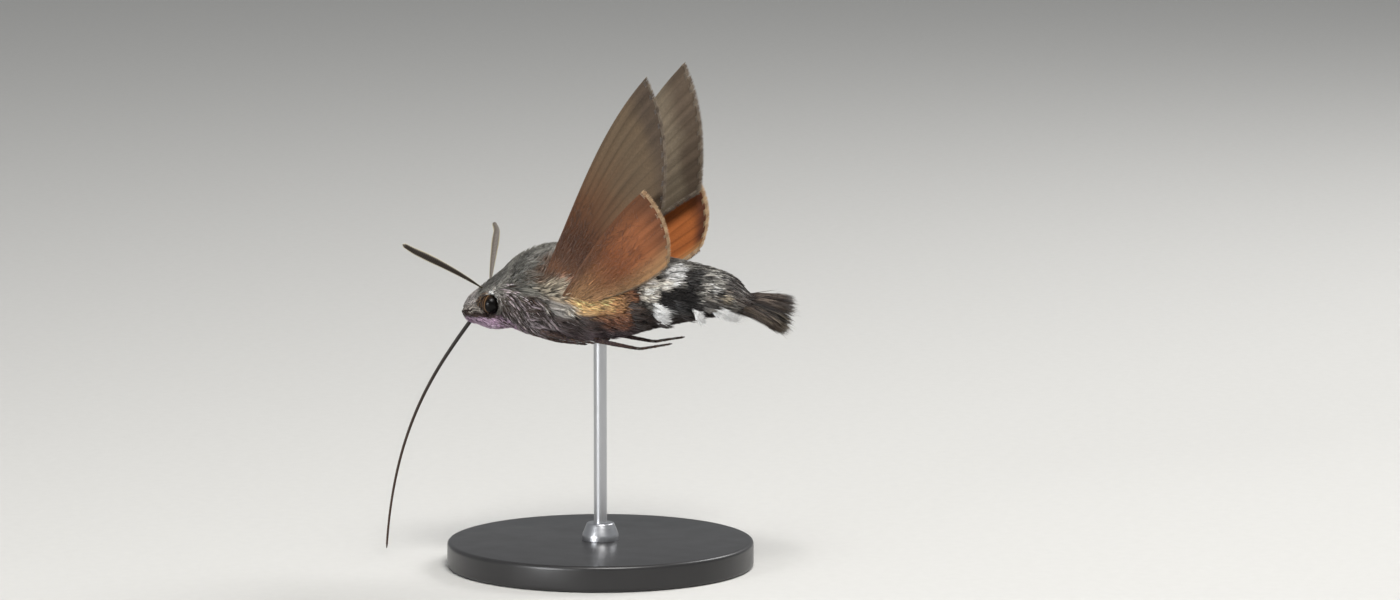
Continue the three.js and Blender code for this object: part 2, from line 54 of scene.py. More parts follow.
# Rows of the body's outline with its coat on: y, height of the centre, half width, height
# above and below it, and the depth of the coat there.
OUTLINE = [
    (-13.0, -1.05, 0.75, 0.45, 0.45, 0.12),
    (-12.5, -0.85, 1.10, 0.80, 0.60, 0.15),
    (-11.9, -0.65, 1.40, 1.12, 0.85, 0.18),
    (-11.2, -0.45, 1.70, 1.50, 1.05, 0.24),
    (-10.2, -0.20, 2.05, 2.05, 1.60, 0.30),
    (-9.2, 0.10, 2.35, 2.55, 2.55, 0.42),
    (-8.15, 0.30, 2.72, 3.40, 3.20, 0.55),
    (-6.8, 0.50, 3.50, 4.06, 3.92, 0.70),
    (-4.8, 0.70, 4.10, 4.40, 4.32, 0.75),
    (-2.4, 0.80, 4.35, 4.40, 4.66, 0.75),
    (0.0, 0.85, 4.25, 4.10, 4.56, 0.72),
    (2.15, 0.85, 3.97, 3.65, 4.12, 0.62),
    (5.0, 0.90, 4.10, 3.40, 3.38, 0.52),
    (8.0, 1.00, 3.95, 2.88, 2.72, 0.50),
    (10.0, 1.00, 3.60, 2.45, 2.26, 0.48),
    (12.0, 0.90, 2.90, 1.92, 1.95, 0.45),
    (13.0, 0.70, 2.25, 1.48, 1.60, 0.42),
    (13.8, 0.32, 1.50, 0.88, 1.02, 0.38),
    (15.0, 0.05, 1.25, 0.50, 0.60, 0.30),
    (16.0, -0.12, 1.15, 0.40, 0.42, 0.26),
]
# The lengths over which the nose and the tail are rounded off.
NOSE_DOME = 0.75
TAIL_DOME = 0.8

# One lip feeler's rows, in the same form, about a middle line PALP_OUT to the side.
PALP = [
    (-12.85, -1.35, 0.30, 0.30, 0.35, 0.08),
    (-12.3, -1.40, 0.62, 0.65, 0.72, 0.10),
    (-11.2, -1.55, 0.90, 1.05, 0.95, 0.14),
    (-9.8, -1.90, 1.05, 1.00, 1.00, 0.18),
    (-8.0, -1.95, 0.95, 0.85, 0.75, 0.20),
    (-6.8, -2.00, 0.90, 0.80, 0.60, 0.20),
]
PALP_OUT = 1.0

EYE = {"radius": 0.88, "out": 1.74, "y": -9.85, "z": -0.50}
# A feeler's radius along it.
CLUB = [
    (0, 0.07), (0.06, 0.08), (0.17, 0.16), (0.26, 0.2), (0.38, 0.25), (0.5, 0.285),
    (0.62, 0.325), (0.72, 0.335), (0.87, 0.285), (1, 0.2),
]
FEELER = {"root": (0.95, -10.75, 0.75), "bow": 0.35, "rings": 44, "sides": 24}
# Each feeler's tip, its hook's step, the way its pale edges face (painted edge highlights on the sides seen
# edge-on from the camera), and its screen colour.
FEELER_ENDS = {
    "left": ((7.5, -16.35, 5.35), (0.05, 0.0, 0.12), (-0.24, 0.44, 0.87), (40, 31, 23)),
    "right": ((-8.8, -12.3, 5.5), (-0.05, -0.35, 0.05), (-0.25, 0.96, -0.09), (96, 88, 80)),
}
# The tongue's control points.
TONGUE = [(0, -11.6, -1.4), (0, -15.2, -6.3), (0, -19.7, -11.8), (0, -20.5, -23.85)]

# Each wing: the ends of its root, its tip and hind corner, how far the edges bow out at one
# and two thirds, its camber, and each vein's place across the root and the outer edge.
FOREWING = {
    "costal": (3.2, -4.7, 1.9),
    "anal": (3.4, -2.2, 1.7),
    "apex": (6.6, 6.3, 21.3),
    "tornus": (6.45, 7.75, 9.5),
    "costa_bow": (0.3, 1.9),
    "outer_bow": (1.3, 0.9),
    "inner_bow": (-0.2, -0.7),
    "camber": 0.5,
    "veins": [
        (0.03, 0.02), (0.12, 0.09), (0.22, 0.18), (0.32, 0.28), (0.42, 0.39),
        (0.52, 0.51), (0.63, 0.63), (0.74, 0.76), (0.88, 0.90),
    ],
}
HINDWING = {
    "costal": (3.9, -2.6, 0.7),
    "anal": (3.9, 0.2, 0.3),
    "apex": (8.2, 6.5, 11.3),
    "tornus": (5.75, 8.0, 4.4),
    "costa_bow": (0.4, 0.9),
    "outer_bow": (1.5, 1.3),
    "inner_bow": (0.6, 0.9),
    "camber": -0.3,
    "veins": [
        (0.05, 0.03), (0.19, 0.16), (0.33, 0.32), (0.46, 0.48), (0.59, 0.63),
        (0.73, 0.78), (0.88, 0.91),
    ],
}
# Where along the wing its veins start to spread, and the width of its fringe.
VEINS_SPREAD_FROM = 0.25
FRINGE = 0.5
PLATE = {"across": 120, "along": 130, "thick": 0.07, "vein": 0.06, "pleat": 0.03}

# The left legs' joints from the body to the foot, their radii and their segments' swelling.
LEGS = {
    "foreleg": [(0.7, -3.3, -3.3), (1.2, -6.0, -3.1), (1.5, -3.4, -3.72), (1.4, -0.8, -3.92)],
    "midleg": [(2.3, -2.3, -3.0), (3.0, -4.8, -2.65), (2.8, -2.2, -3.3), (2.5, 0.2, -3.62)],
    "hindleg": [(1.3, 1.2, -3.2), (2.4, 0.2, -3.35), (2.4, 4.4, -4.0), (2.2, 7.4, -3.42)],
}
LEG_RADIUS = (0.26, 0.20, 0.12, 0.07)
LEG_SWELL = (0.25, 0.18, 0.0)

# Tiers of long locks: first and last root as y and degrees up from the side, how many,
# how far they reach on in y and degrees, their width and how far their tips stand off.
BACK_LOCKS = [
    ((-7.3, 62), (-7.2, 26), 3, (3.4, 2), 1.5, 0.1),
    ((-1.9, 72), (-1.9, 40), 3, (3.4, 0), 1.6, 0.1),
]
BREAST_LOCKS = [
    ((-7.4, 8), (-7.0, -52), 5, (3.7, -8), 1.3, 0.12),
    ((-4.6, -8), (-4.4, -50), 4, (3.5, -6), 1.4, 0.14),
    ((-1.7, -22), (-1.6, -56), 4, (3.2, 2), 1.4, 0.12),
]
ABDOMEN_LOCKS = [
    ((3.2, -14), (3.2, -44), 3, (2.7, -2), 1.2, 0.3),
    ((5.5, -44), (5.5, -58), 2, (2.4, -3), 1.1, 0.45),
    ((7.9, -10), (7.9, -46), 3, (2.3, -3), 1.1, 0.45),
    ((10.2, -8), (10.2, -20), 2, (2.4, -4), 1.1, 0.45),
]
WHITE_TUFTS = [
    ((5.8, -20), (5.8, -36), 3, (1.9, -3), 1.3, 0.6),
    ((9.2, -36), (9.2, -48), 2, (1.4, -2), 0.8, 0.7),
    ((11.0, -30), (12.0, -48), 5, (1.8, -3), 1.1, 0.7),
]
FAN = {
    "scales": 4600,
    "strands": 90,
    "front": 13.8,
    "height": 0.3,
    "reach": 4.8,
    "root_half": 1.0,
    "tip_half": 4.0,
    "droop": 1.5,
    "roll": 18,
}

# The coat's stretches along y, and its tufts to a square millimetre.
STRETCH = {
    "head": (-12.95, -8.3),
    "thorax": (-8.6, 2.4),
    "abdomen": (1.6, 13.9),
    "palp": (-12.8, -7.2),
}
DENSITY = {"head": 190, "back": 150, "breast": 84, "abdomen": 84, "palp": 130}
# How many tufts there are of the kinds that aren't spread by area.
COUNT = {"lashes": 1300, "neck": 800, "leg": 620, "outer_fringe": 1300, "inner_fringe": 800}

STAND = {
    "base_radius": 14,
    "base_height": 2.4,
    "bevel": 0.4,
    "rod_radius": 0.6,
    "collar_radius": 1.7,
    "collar_height": 1.6,
}


def paint(*rgb):
    """A colour named in screen values from 0 to 255, as linear light."""
    c = np.array(rgb, float) / 255
    return np.where(c <= 0.04045, c / 12.92, ((c + 0.055) / 1.055) ** 2.4)


GREY = paint(112, 110, 103)
PALE_GREY = paint(172, 168, 161)
DARK_GREY = paint(60, 56, 52)
BROWN = paint(92, 66, 48)
DARK_BROWN = paint(56, 42, 36)
RUST = paint(134, 84, 54)
OCHRE = paint(218, 178, 124)
CREAM = paint(204, 188, 162)
WHITE = paint(244, 244, 242)
# LILAC_REFLECTION is a painted reflection: a purple flower's lilac light, painted on the white palps, throat
# and breast.
LILAC_REFLECTION = paint(160, 128, 154)
BLACK = paint(20, 17, 16)


# Plain vector helpers

def unit(v):
    return v / np.maximum(np.linalg.norm(v, axis=-1, keepdims=True), 1e-9)


def mix(a, b, t):
    return a + (b - a) * t


def blend(a, b, share):
    """Colours or points a turned into b, each by a share of its own."""
    return mix(a, b, share[..., None])


def aligned(*values):
    """Values as float arrays of one shape."""
    return np.broadcast_arrays(*(np.asarray(v, float) for v in values))


def smoothstep(x, low, high):
    t = np.clip((x - low) / (high - low), 0, 1)
    return t * t * (3 - 2 * t)


def bezier(points, t):
    """A curve of three or four control points, each one an array, at the shares t."""
    t = np.asarray(t, float)[..., None]
    n = len(points) - 1
    curve = 0
    for i, p in enumerate(points):
        curve = curve + math.comb(n, i) * t**i * (1 - t) ** (n - i) * np.asarray(p)
    return curve


LATTICE = rng.random((32, 32, 32))


def value_noise(p, scale):
    """Smooth noise from 0 to 1 with features of about scale millimetres."""
    q = np.asarray(p) / scale
    cell = np.floor(q).astype(int)
    f = q - cell
    f = f * f * (3 - 2 * f)
    total = 0
    for step in np.ndindex(2, 2, 2):
        near = (cell + step) % 32
        weight = np.prod(np.where(step, f, 1 - f), axis=1)
        total = total + LATTICE[near[:, 0], near[:, 1], near[:, 2]] * weight
    return total


# Meshes

def set_tint(mesh, colour):
    """Keeps a colour for each point of a mesh."""
    tint = mesh.color_attributes.new("tint", "FLOAT_COLOR", "POINT")
    rgba = np.concatenate([colour, np.ones((len(colour), 1))], axis=1)
    tint.data.foreach_set("color", rgba.astype(np.float32).ravel())


def placed(name, data):
    """A new object in the scene."""
    piece = bpy.data.objects.new(name, data)
    bpy.context.scene.collection.objects.link(piece)
    return piece


def mesh_piece(name, points, faces, colour=None, uv=None, uv_name="OFBake"):
    """A mesh object from points in millimetres and arrays of faces of one size each."""
    mesh = bpy.data.meshes.new(name)
    points = (np.asarray(points, float) + (0, 0, AXIS_HEIGHT)) * MM
    faces = [np.asarray(f, np.int32) for f in faces if len(f)]
    corners = np.concatenate([f.ravel() for f in faces])
    totals = np.concatenate([np.full(len(f), f.shape[1], np.int32) for f in faces])
    starts = np.concatenate([[0], np.cumsum(totals)[:-1]]).astype(np.int32)
    mesh.vertices.add(len(points))
    mesh.vertices.foreach_set("co", points.astype(np.float32).ravel())
    mesh.loops.add(len(corners))
    mesh.loops.foreach_set("vertex_index", corners)
    mesh.polygons.add(len(totals))
    mesh.polygons.foreach_set("loop_start", starts)
    mesh.polygons.foreach_set("loop_total", totals)
    mesh.polygons.foreach_set("use_smooth", np.ones(len(totals), bool))
    if uv is not None:
        layer = mesh.uv_layers.new(name=uv_name)
        layer.data.foreach_set("uv", np.asarray(uv, np.float32)[corners].ravel())
    if colour is not None:
        set_tint(mesh, colour)
    mesh.update()
    mesh.validate()
    return placed(name, mesh)


def finished(piece, material, slot, *nodes):
    """Gives a piece its material and its body, and hides the nodes that it stands for; slot is not used."""
    piece.data.materials.append(material)
    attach(piece, "root")
    if nodes:
        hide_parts(*nodes)
    return piece


def grid_faces(rows, columns):
    """Quads between closed rows of points."""
    i = np.arange(rows - 1)[:, None] * columns
    j = np.arange(columns)[None, :]
    k = (j + 1) % columns
    return np.stack([i + j, i + k, i + columns + k, i + columns + j], axis=-1).reshape(-1, 4)


def capped(rows, columns):
    """A closed form's faces: the quads between its rings and a cap at each end."""
    first = np.arange(columns)[::-1][None, :]
    last = (np.arange(columns) + (rows - 1) * columns)[None, :]
    return [grid_faces(rows, columns), first, last]


def turned_over(faces):
    return [np.asarray(f)[:, ::-1] for f in faces]


def tube(centres, radii, sides, shape=None):
    """A closed tube's points and faces; its rings are carried along without twisting."""
    centres = np.asarray(centres, float)
    tangents = unit(np.gradient(centres, axis=0))
    normal = unit(np.cross(tangents[0], (0.3, 0.1, 1.0)))
    turns = (np.arange(sides) + 0.5) * 2 * math.pi / sides
    rings = []
    for centre, tangent, radius in zip(centres, tangents, radii):
        normal = unit(normal - tangent * (normal @ tangent))
        reach = radius * (shape(turns) if shape else np.ones(sides))
        ring = (reach * np.cos(turns))[:, None] * normal
        ring = ring + (reach * np.sin(turns))[:, None] * np.cross(tangent, normal)
        rings.append(centre + ring)
    return np.concatenate(rings), capped(len(rings), sides)


# The body's surface

def smooth_rows(rows, per_gap=12):
    """Rows filled in along a smooth curve through them."""
    rows = np.array(rows, float)
    slope = np.gradient(rows, rows[:, 0], axis=0)
    t = (np.arange(per_gap) / per_gap)[:, None]
    filled = []
    for i in range(len(rows) - 1):
        h = rows[i + 1, 0] - rows[i, 0]
        start = (2 * t**3 - 3 * t**2 + 1) * rows[i] + (t**3 - 2 * t**2 + t) * h * slope[i]
        end = (-2 * t**3 + 3 * t**2) * rows[i + 1] + (t**3 - t**2) * h * slope[i + 1]
        filled.append(start + end)
    filled.append(rows[-1:])
    return np.concatenate(filled)


class Hull:
    """A form of rows along y. A place on it is a y and a turn in radians up from its left side."""

    def __init__(self, rows, dome, tail, middle=0.0):
        self.table = smooth_rows(rows)
        self.front = rows[0][0]
        self.back = rows[-1][0]
        self.dome = dome
        self.tail = tail
        self.middle = middle

    def row(self, y):
        """The rows' values at y: centre, half width, above, below and coat depth."""
        return [np.interp(y, self.table[:, 0], self.table[:, i]) for i in range(1, 6)]

    def depth(self, y):
        return self.row(y)[4]

    def at(self, y, turn, height=0.0):
        """The point at a place, a height over the skin."""
        y, turn, height = aligned(y, turn, height)
        z, width, above, below, depth = self.row(y)
        from_front = np.clip((y - self.front) / self.dome, 0, 1)
        from_back = np.clip((self.back - y) / self.tail, 0, 1)
        shrink = np.sqrt(1 - (1 - from_front) ** 2) * np.sqrt(1 - (1 - from_back) ** 2)
        rise = np.where(np.sin(turn) > 0, above, below)
        lift = height - depth * (0.35 + 0.65 * shrink)
        across = (width * shrink + lift) * np.cos(turn)
        up = (rise * shrink + lift) * np.sin(turn)
        return np.stack([self.middle + across, y, z + up], axis=-1)

    def normal(self, y, turn):
        """The outward direction at a place."""
        e = 0.02
        along = self.at(y + e, turn) - self.at(y - e, turn)
        around = self.at(y, turn + e) - self.at(y, turn - e)
        return unit(np.cross(around, along))

    def stretch(self, y, turn):
        """Millimetres to a radian of turn."""
        e = 0.05
        return np.linalg.norm(self.at(y, turn + e) - self.at(y, turn - e), axis=-1) / (2 * e)

    def turn_of(self, y, z, side):
        """The turn at which the outline passes a height."""
        centre, _, above, below, _ = self.row(y)
        turn = np.arcsin(np.clip((z - centre) / np.where(z > centre, above, below), -0.98, 0.98))
        return turn if side > 0 else math.pi - turn

    def loft(self, rings, sides):
        """Its skin's points and faces, with closer rings at both ends."""
        ease = np.linspace(0, 1, rings)
        y = mix(self.front, self.back, (ease + smoothstep(ease, 0, 1)) / 2)
        y[0] += 0.02
        y[-1] -= 0.02
        turns = np.arange(sides) * 2 * math.pi / sides
        points = self.at(y[:, None], turns[None, :])
        return points.reshape(-1, 3), turned_over(capped(rings, sides))

    def unwrap(self, y, turn):
        """A place's spot on the unwrapped skin."""
        u = (turn / (2 * math.pi)) % 1.0
        v = (y - self.front) / (self.back - self.front)
        return np.stack([0.01 + 0.97 * u, 0.01 + 0.97 * v], axis=-1)


BODY = Hull(OUTLINE, NOSE_DOME, TAIL_DOME)
PALP_HULLS = {side: Hull(PALP, 0.5, 0.5, PALP_OUT * side) for side in (1, -1)}


# Markings

def lie_of(p):
    """How far the coat at points of the body runs down from straight back, in radians."""
    x = np.abs(p[:, 0])
    y, z = p[:, 1], p[:, 2]
    breast = smoothstep(-z, -1.2, 0.0) * (1 - smoothstep(y, -5.0, 0.5)) * smoothstep(y, -10.2, -8.8)
    shoulder = np.exp(-(((y + 3.9) / 1.5) ** 2) - ((z - 3.0) / 1.6) ** 2)
    return (0.06 + 0.72 * breast - 1.2 * shoulder) * smoothstep(x, 0.0, 1.4)


def streaks(p, lie, across, along):
    """Noise drawn out along the coat's lie."""
    reach = p[:, 1] * np.cos(lie) - p[:, 2] * np.sin(lie)
    over = p[:, 1] * np.sin(lie) + p[:, 2] * np.cos(lie)
    return value_noise(np.stack([reach / along, over / across, p[:, 0] / across], axis=1), 1.0)


def tone_of(p, lie):
    """How light each hair is: long streaks on the flanks, a fine grain on the back."""
    back = smoothstep(p[:, 2], 0.6, 2.0) * (1 - smoothstep(p[:, 1], 2.0, 5.0))
    grain = 1.3 * (streaks(p, lie, 0.14, 0.26) - 0.5) + 0.5
    rough = mix(0.18, 0.42, smoothstep(p[:, 1], 7.5, 10.0)) * rng.normal(0, 1, len(p))
    return mix(0.58, 1.44, mix(streaks(p, lie, 0.2, 1.3), grain, back)) * np.exp(rough)


# Patches of the coat: paint, centre, radii, strength and, where it isn't RAGGED, how
# ragged the edge is.
RAGGED = 0.4
# The centre of a painted shadow, in the gap under the tegula in front of the cream patch.
TEGULA_SHADOW = (3.6, -5.9, 0.1)
THORAX_PATCHES = [
    (BROWN, (3.5, -4.2, 2.9), (2.2, 1.5, 1.9), 0.85),
    (BROWN, (3.0, 0.4, 3.6), (2.6, 3.2, 1.6), 0.5),
    (RUST, (3.6, 0.4, 1.9), (2.6, 4.0, 1.5), 0.85),
    (OCHRE, (4.0, 0.9, 0.15), (2.4, 4.1, 1.4), 0.95),
    (RUST, (3.8, 2.4, -1.5), (2.4, 2.6, 1.3), 0.75),
    # Painted shadow under the tegula.
    (DARK_BROWN, TEGULA_SHADOW, (2.0, 1.35, 0.66), 0.95),
    (DARK_BROWN, (3.8, -1.6, -2.0), (2.6, 2.6, 1.0), 0.7),
    (mix(PALE_GREY, WHITE, 0.15), (4.2, -2.7, -0.4), (2.2, 1.6, 0.9), 0.8),
    (mix(CREAM, GREY, 0.6), (4.3, -3.0, 1.4), (1.8, 2.4, 0.95), 0.85),
]
HEAD_PATCHES = [
    (mix(GREY, DARK_GREY, 0.7), (0.0, -9.6, 2.0), (2.6, 1.8, 1.4), 0.9),
    (mix(PALE_GREY, LILAC_REFLECTION, 0.12), (0.0, -12.2, -0.1), (2.2, 1.5, 1.2), 0.9),
    (WHITE, (2.0, -9.75, 0.62), (0.8, 0.38, 0.24), 1.0, 0.25),
    (mix(BROWN, DARK_BROWN, 0.7), (1.9, -10.75, -0.6), (0.9, 0.75, 0.85), 0.95),
    (DARK_BROWN, (1.4, -11.6, -1.36), (1.1, 1.4, 0.34), 0.95),
    # The lilac throat is a painted reflection of a purple flower's light on white scales.
    (LILAC_REFLECTION, (1.2, -9.6, -2.5), (2.0, 3.2, 0.85), 1.0),
]
FLANK_PATCHES = [
    (RUST, (4.0, 3.1, 0.4), (1.8, 1.6, 1.5), 0.6),
    (BLACK, (4.0, 8.3, 0.5), (2.6, 2.6, 1.9), 1.0),
    (BLACK, (2.4, 9.5, 2.7), (2.2, 0.8, 1.7), 0.9),
    (mix(GREY, BROWN, 0.35), (3.0, 12.0, 0.6), (2.2, 1.5, 1.5), 0.6),
]
CHEQUER_PATCHES = [
    (BLACK, (3.4, 10.8, -0.1), (1.4, 0.6, 0.8), 0.7),
    (mix(DARK_BROWN, BLACK, 0.5), (1.2, 12.6, 2.2), (1.6, 0.7, 0.8), 0.7),
    (mix(CREAM, WHITE, 0.45), (3.9, 5.5, 1.9), (1.1, 0.95, 1.6), 1.0),
    (mix(PALE_GREY, WHITE, 0.75), (2.7, 7.6, 3.3), (1.9, 0.98, 1.5), 1.0),
    (mix(CREAM, WHITE, 0.5), (3.6, 7.1, 2.2), (0.9, 0.6, 0.6), 0.9),
    (mix(PALE_GREY, WHITE, 0.5), (3.2, 11.5, 2.0), (1.1, 0.34, 0.7), 0.95),
    (mix(CREAM, GREY, 0.3), (2.9, 12.4, 0.9), (0.9, 0.5, 0.5), 0.7),
    (DARK_BROWN, (1.6, 13.6, 0.9), (2.4, 0.8, 1.0), 0.75),
    (WHITE, (4.0, 6.9, -0.7), (1.2, 1.0, 0.8), 1.0),
    (WHITE, (3.6, 10.0, -1.1), (1.0, 0.6, 0.5), 1.0),
    (WHITE, (2.9, 12.5, -0.9), (1.2, 1.0, 0.6), 1.0),
]


def patched(p, patches, colour):
    """A colour with soft, rough-edged patches painted over it on both sides of the body."""
    q = np.stack([np.abs(p[:, 0]), p[:, 1], p[:, 2]], axis=1)
    rough = value_noise(p, 0.45) - 0.5
    for tint, centre, radii, strength, *own in patches:
        distance = np.linalg.norm((q - centre) / radii, axis=1)
        distance = distance + (own[0] if own else RAGGED) * rough
        share = strength * (1 - smoothstep(distance, 0.6, 1.15))
        colour = blend(colour, tint, share)
    return colour


def thorax_colours(p, colour):
    """Grey above, streaked and darker below, the darkness below painted shade, rust and ochre round the
    wings' roots; a lilac painted reflection tints the underside and pale streaks.
    """
    y, z = p[:, 1], p[:, 2]
    # Painted shade: the thorax darkened below, tinged lilac by a painted reflection.
    colour = blend(colour, mix(DARK_BROWN, LILAC_REFLECTION, 0.12), 0.9 * smoothstep(-z, 0.0, 2.2))
    colour = patched(p, THORAX_PATCHES, colour)
    line = streaks(p, lie_of(p), 0.17, 1.9)
    front = (1 - smoothstep(y, -4.5, -1.5)) * smoothstep(-z, -1.0, 0.2) * smoothstep(y, -9.6, -8.9)
    pale = 0.85 * front * smoothstep(line, 0.55, 0.66)
    dark = 0.95 * front * smoothstep(1 - line, 0.45, 0.58)
    colour = blend(colour, mix(PALE_GREY, LILAC_REFLECTION, 0.4), pale)
    return blend(colour, DARK_BROWN, dark)


def abdomen_colours(p, colour, mottle):
    """Speckled grey-brown above, black flanks with white patches, dark below."""
    y, z = p[:, 1], p[:, 2]
    back = np.tile(mix(GREY, PALE_GREY, 0.3), (len(p), 1))
    back = mix(back, DARK_GREY, smoothstep(mottle, 0.42, 0.6))
    back = blend(back, mix(DARK_BROWN, BLACK, 0.3), smoothstep(-z, -0.3, 1.2))
    colour = blend(colour, back, smoothstep(y, 2.6, 4.4))
    colour = patched(p, FLANK_PATCHES, colour)
    speck = value_noise(p, 0.3)
    rear = smoothstep(y, 9.6, 10.6)
    colour = blend(colour, PALE_GREY, 0.6 * rear * smoothstep(speck, 0.58, 0.7))
    colour = blend(colour, BLACK, 0.8 * rear * smoothstep(1 - speck, 0.56, 0.7))
    return patched(p, CHEQUER_PATCHES, colour)


def markings(p):
    """The coat's colour at points of the body."""
    p = np.asarray(p, float)
    mottle = value_noise(p, 1.1)[:, None]
    colour = np.tile(GREY, (len(p), 1))
    colour = mix(colour, PALE_GREY, 0.4 * smoothstep(mottle, 0.55, 0.9))
    colour = mix(colour, DARK_GREY, 0.5 * smoothstep(1 - mottle, 0.55, 0.9))
    colour = thorax_colours(p, colour)
    colour = patched(p, HEAD_PATCHES, colour)
    colour = abdomen_colours(p, colour, mottle)
    tail = smoothstep(p[:, 1], 13.3, 14.3)[:, None]
    return mix(colour, mix(DARK_BROWN, BLACK, 0.4), tail)


# Tufts

# The side of a tuft's own patch on the unwrapped skin, the thickness of fur as a share of
# its width, and where short scales have their rings of points.
PATCH = 0.003
FUR_FLAT = 0.45
FEW_STATIONS = (0, 0.5)


def tuft_faces(count, rings):
    """The quads and triangles of tufts of some rings of three points and a tip."""
    sides = ((0, 1), (1, 2), (2, 0))
    last = 3 * (rings - 1)
    quads = []
    for first in range(0, last, 3):
        quads += [(first + a, first + 3 + a, first + 3 + b, first + b) for a, b in sides]
    tris = [(0, 1, 2)] + [(last + a, last + 3, last + b) for a, b in sides]
    base = (np.arange(count) * (last + 4))[:, None, None]
    return (base + np.array(quads)).reshape(-1, 4), (base + np.array(tris)).reshape(-1, 3)


def tufts(curve, normal, width, tints, uv, flat=0.35, stations=(0, 0.42, 0.76)):
    """Tapered three-sided tufts along quadratic curves, closed at the root and at the tip.

    tints are their root and tip colours, uv their roots' spots on the unwrapped skin, flat
    their thickness as a share of the width and stations where their rings of points lie.
    """
    p0, p1, p2 = curve
    root_tint, tip_tint = tints
    thick = width * flat
    count = len(p0)
    bulk = np.interp(stations, (0, 0.35, 0.8, 1), (0.75, 1.0, 0.62, 0.1))
    points, colours, uvs = [], [], []
    for t, b in zip(stations, bulk):
        centre = bezier(curve, np.full(count, t))
        tangent = unit(2 * (1 - t) * (p1 - p0) + 2 * t * (p2 - p1))
        side = unit(np.cross(tangent, normal))
        half = side * (width * b / 2)[:, None]
        ridge = np.cross(side, tangent) * (thick * b)[:, None]
        points += [centre + half, centre + ridge, centre - half]
        colours += [mix(root_tint, tip_tint, t)] * 3
        uvs += [uv + PATCH * np.array([0.5 * across, t]) for across in (1, 0, -1)]
    points.append(p2)
    colours.append(tip_tint)
    uvs.append(uv + PATCH * np.array([0, 1.0]))
    points, colours, uvs = (np.stack(v, axis=1) for v in (points, colours, uvs))
    faces = tuft_faces(count, len(stations))
    return points.reshape(-1, 3), *faces, colours.reshape(-1, 3), uvs.reshape(-1, 2)


def coat_piece(name, batches, material, slot, *nodes):
    """Several batches of tufts as one piece."""
    shifts = np.cumsum([0] + [len(batch[0]) for batch in batches[:-1]])
    points, tints, uvs = (np.concatenate([batch[i] for batch in batches]) for i in (0, 3, 4))
    quads, tris = (np.concatenate([b[i] + shift for b, shift in zip(batches, shifts)]) for i in (1, 2))
    piece = mesh_piece(name, points, (quads, tris), tints, np.clip(uvs, 0, 1))
    return finished(piece, material, slot, *nodes)


def scatter(hull, y_range, turn_range, density):
    """Places on a hull, spread evenly by area."""
    middle = np.linspace(*y_range, 40)
    radius = float(np.maximum(hull.stretch(middle, 0.0), hull.stretch(middle, math.pi / 2)).max())
    area = abs(y_range[1] - y_range[0]) * abs(turn_range[1] - turn_range[0]) * radius
    count = int(area * density)
    y = rng.uniform(*y_range, count)
    turn = rng.uniform(*turn_range, count)
    keep = rng.random(count) < hull.stretch(y, turn) / radius
    return y[keep], turn[keep]


def clumping(y, turn, radius, spacing, pull):
    """Steps that lean tips towards the middle of their clump."""
    span = (np.ptp(y) + 0.1) * (np.ptp(turn) + 0.1) * radius
    count = max(4, int(span / spacing**2))
    middle_y = rng.uniform(y.min(), y.max(), count)
    middle_turn = rng.uniform(turn.min(), turn.max(), count)
    nearest = np.zeros(len(y), int)
    for start in range(0, len(y), 4000):
        part = slice(start, start + 4000)
        away = (y[part, None] - middle_y) ** 2 + ((turn[part, None] - middle_turn) * radius) ** 2
        nearest[part] = away.argmin(axis=1)
    return pull * (middle_y[nearest] - y), pull * (middle_turn[nearest] - turn)


def root_shaded_tip_lit(tint, root=0.6, tip=1.2, spread=0.2, tone=1.0):
    """Root and tip colours, the roots darkened as painted shade between the tufts and the tips lightened as
    painted light, each tuft a little lighter or darker than the next.
    """
    tone = tone * np.exp(rng.normal(0, spread, len(tint)))
    return np.clip(tint * tone[:, None] * root, 0, 1), np.clip(tint * tone[:, None] * tip, 0, 0.95)


def fur(hull, place, size, lie=None, tint=None, clump=(0.8, 0.4), shade=(0.55, 1.2), keep=None):
    """Tufts that root in a hull's skin and lie over it.

    place is their y and turn, size their length, width and height off the skin, and lie
    the angle in radians that they run down from straight back.
    """
    y, turn = place
    length, width, stand = size
    p0 = hull.at(y, turn, -0.06)
    lie = lie_of(p0) if lie is None else lie
    lean_y, lean_turn = clumping(y, turn, float(hull.stretch(y, turn).mean()), *clump)
    way = lie + rng.normal(0, 0.1, len(y))
    local = np.maximum(hull.stretch(y, turn), 0.25)
    step_y = length * np.cos(way) + lean_y
    step_turn = -length * np.sin(way) / local * np.sign(np.cos(turn)) + lean_turn
    normal = hull.normal(y, turn)
    p1 = hull.at(y + step_y * 0.45, turn + step_turn * 0.45, stand * 0.95)
    p2 = hull.at(y + step_y, turn + step_turn, stand)
    tint = markings(p1) if tint is None else tint
    values = (p0, p1, p2, normal, width, tint, tone_of(p1, lie), hull.unwrap(y, turn))
    if keep is not None:
        kept = keep(p0, p1, p2)
        values = (v[kept] for v in values)
    p0, p1, p2, normal, width, tint, tone, uv = values
    # The tufts' roots are darkened as painted shade and their tips lightened as painted light.
    return tufts((p0, p1, p2), normal, width, root_shaded_tip_lit(tint, *shade, tone=tone), uv, FUR_FLAT)


# The coat's layers: share of its tufts, their length, how far they stand, and shades at root and tip, which
# are painted shade and painted light; the undercoat is darker, as painted shade under the top coat.
LAYERS = [
    (0.62, 0.8, (0.35, 0.8), (0.45, 0.95)),
    (0.38, 1.15, (0.75, 1.12), (0.6, 1.3)),
]


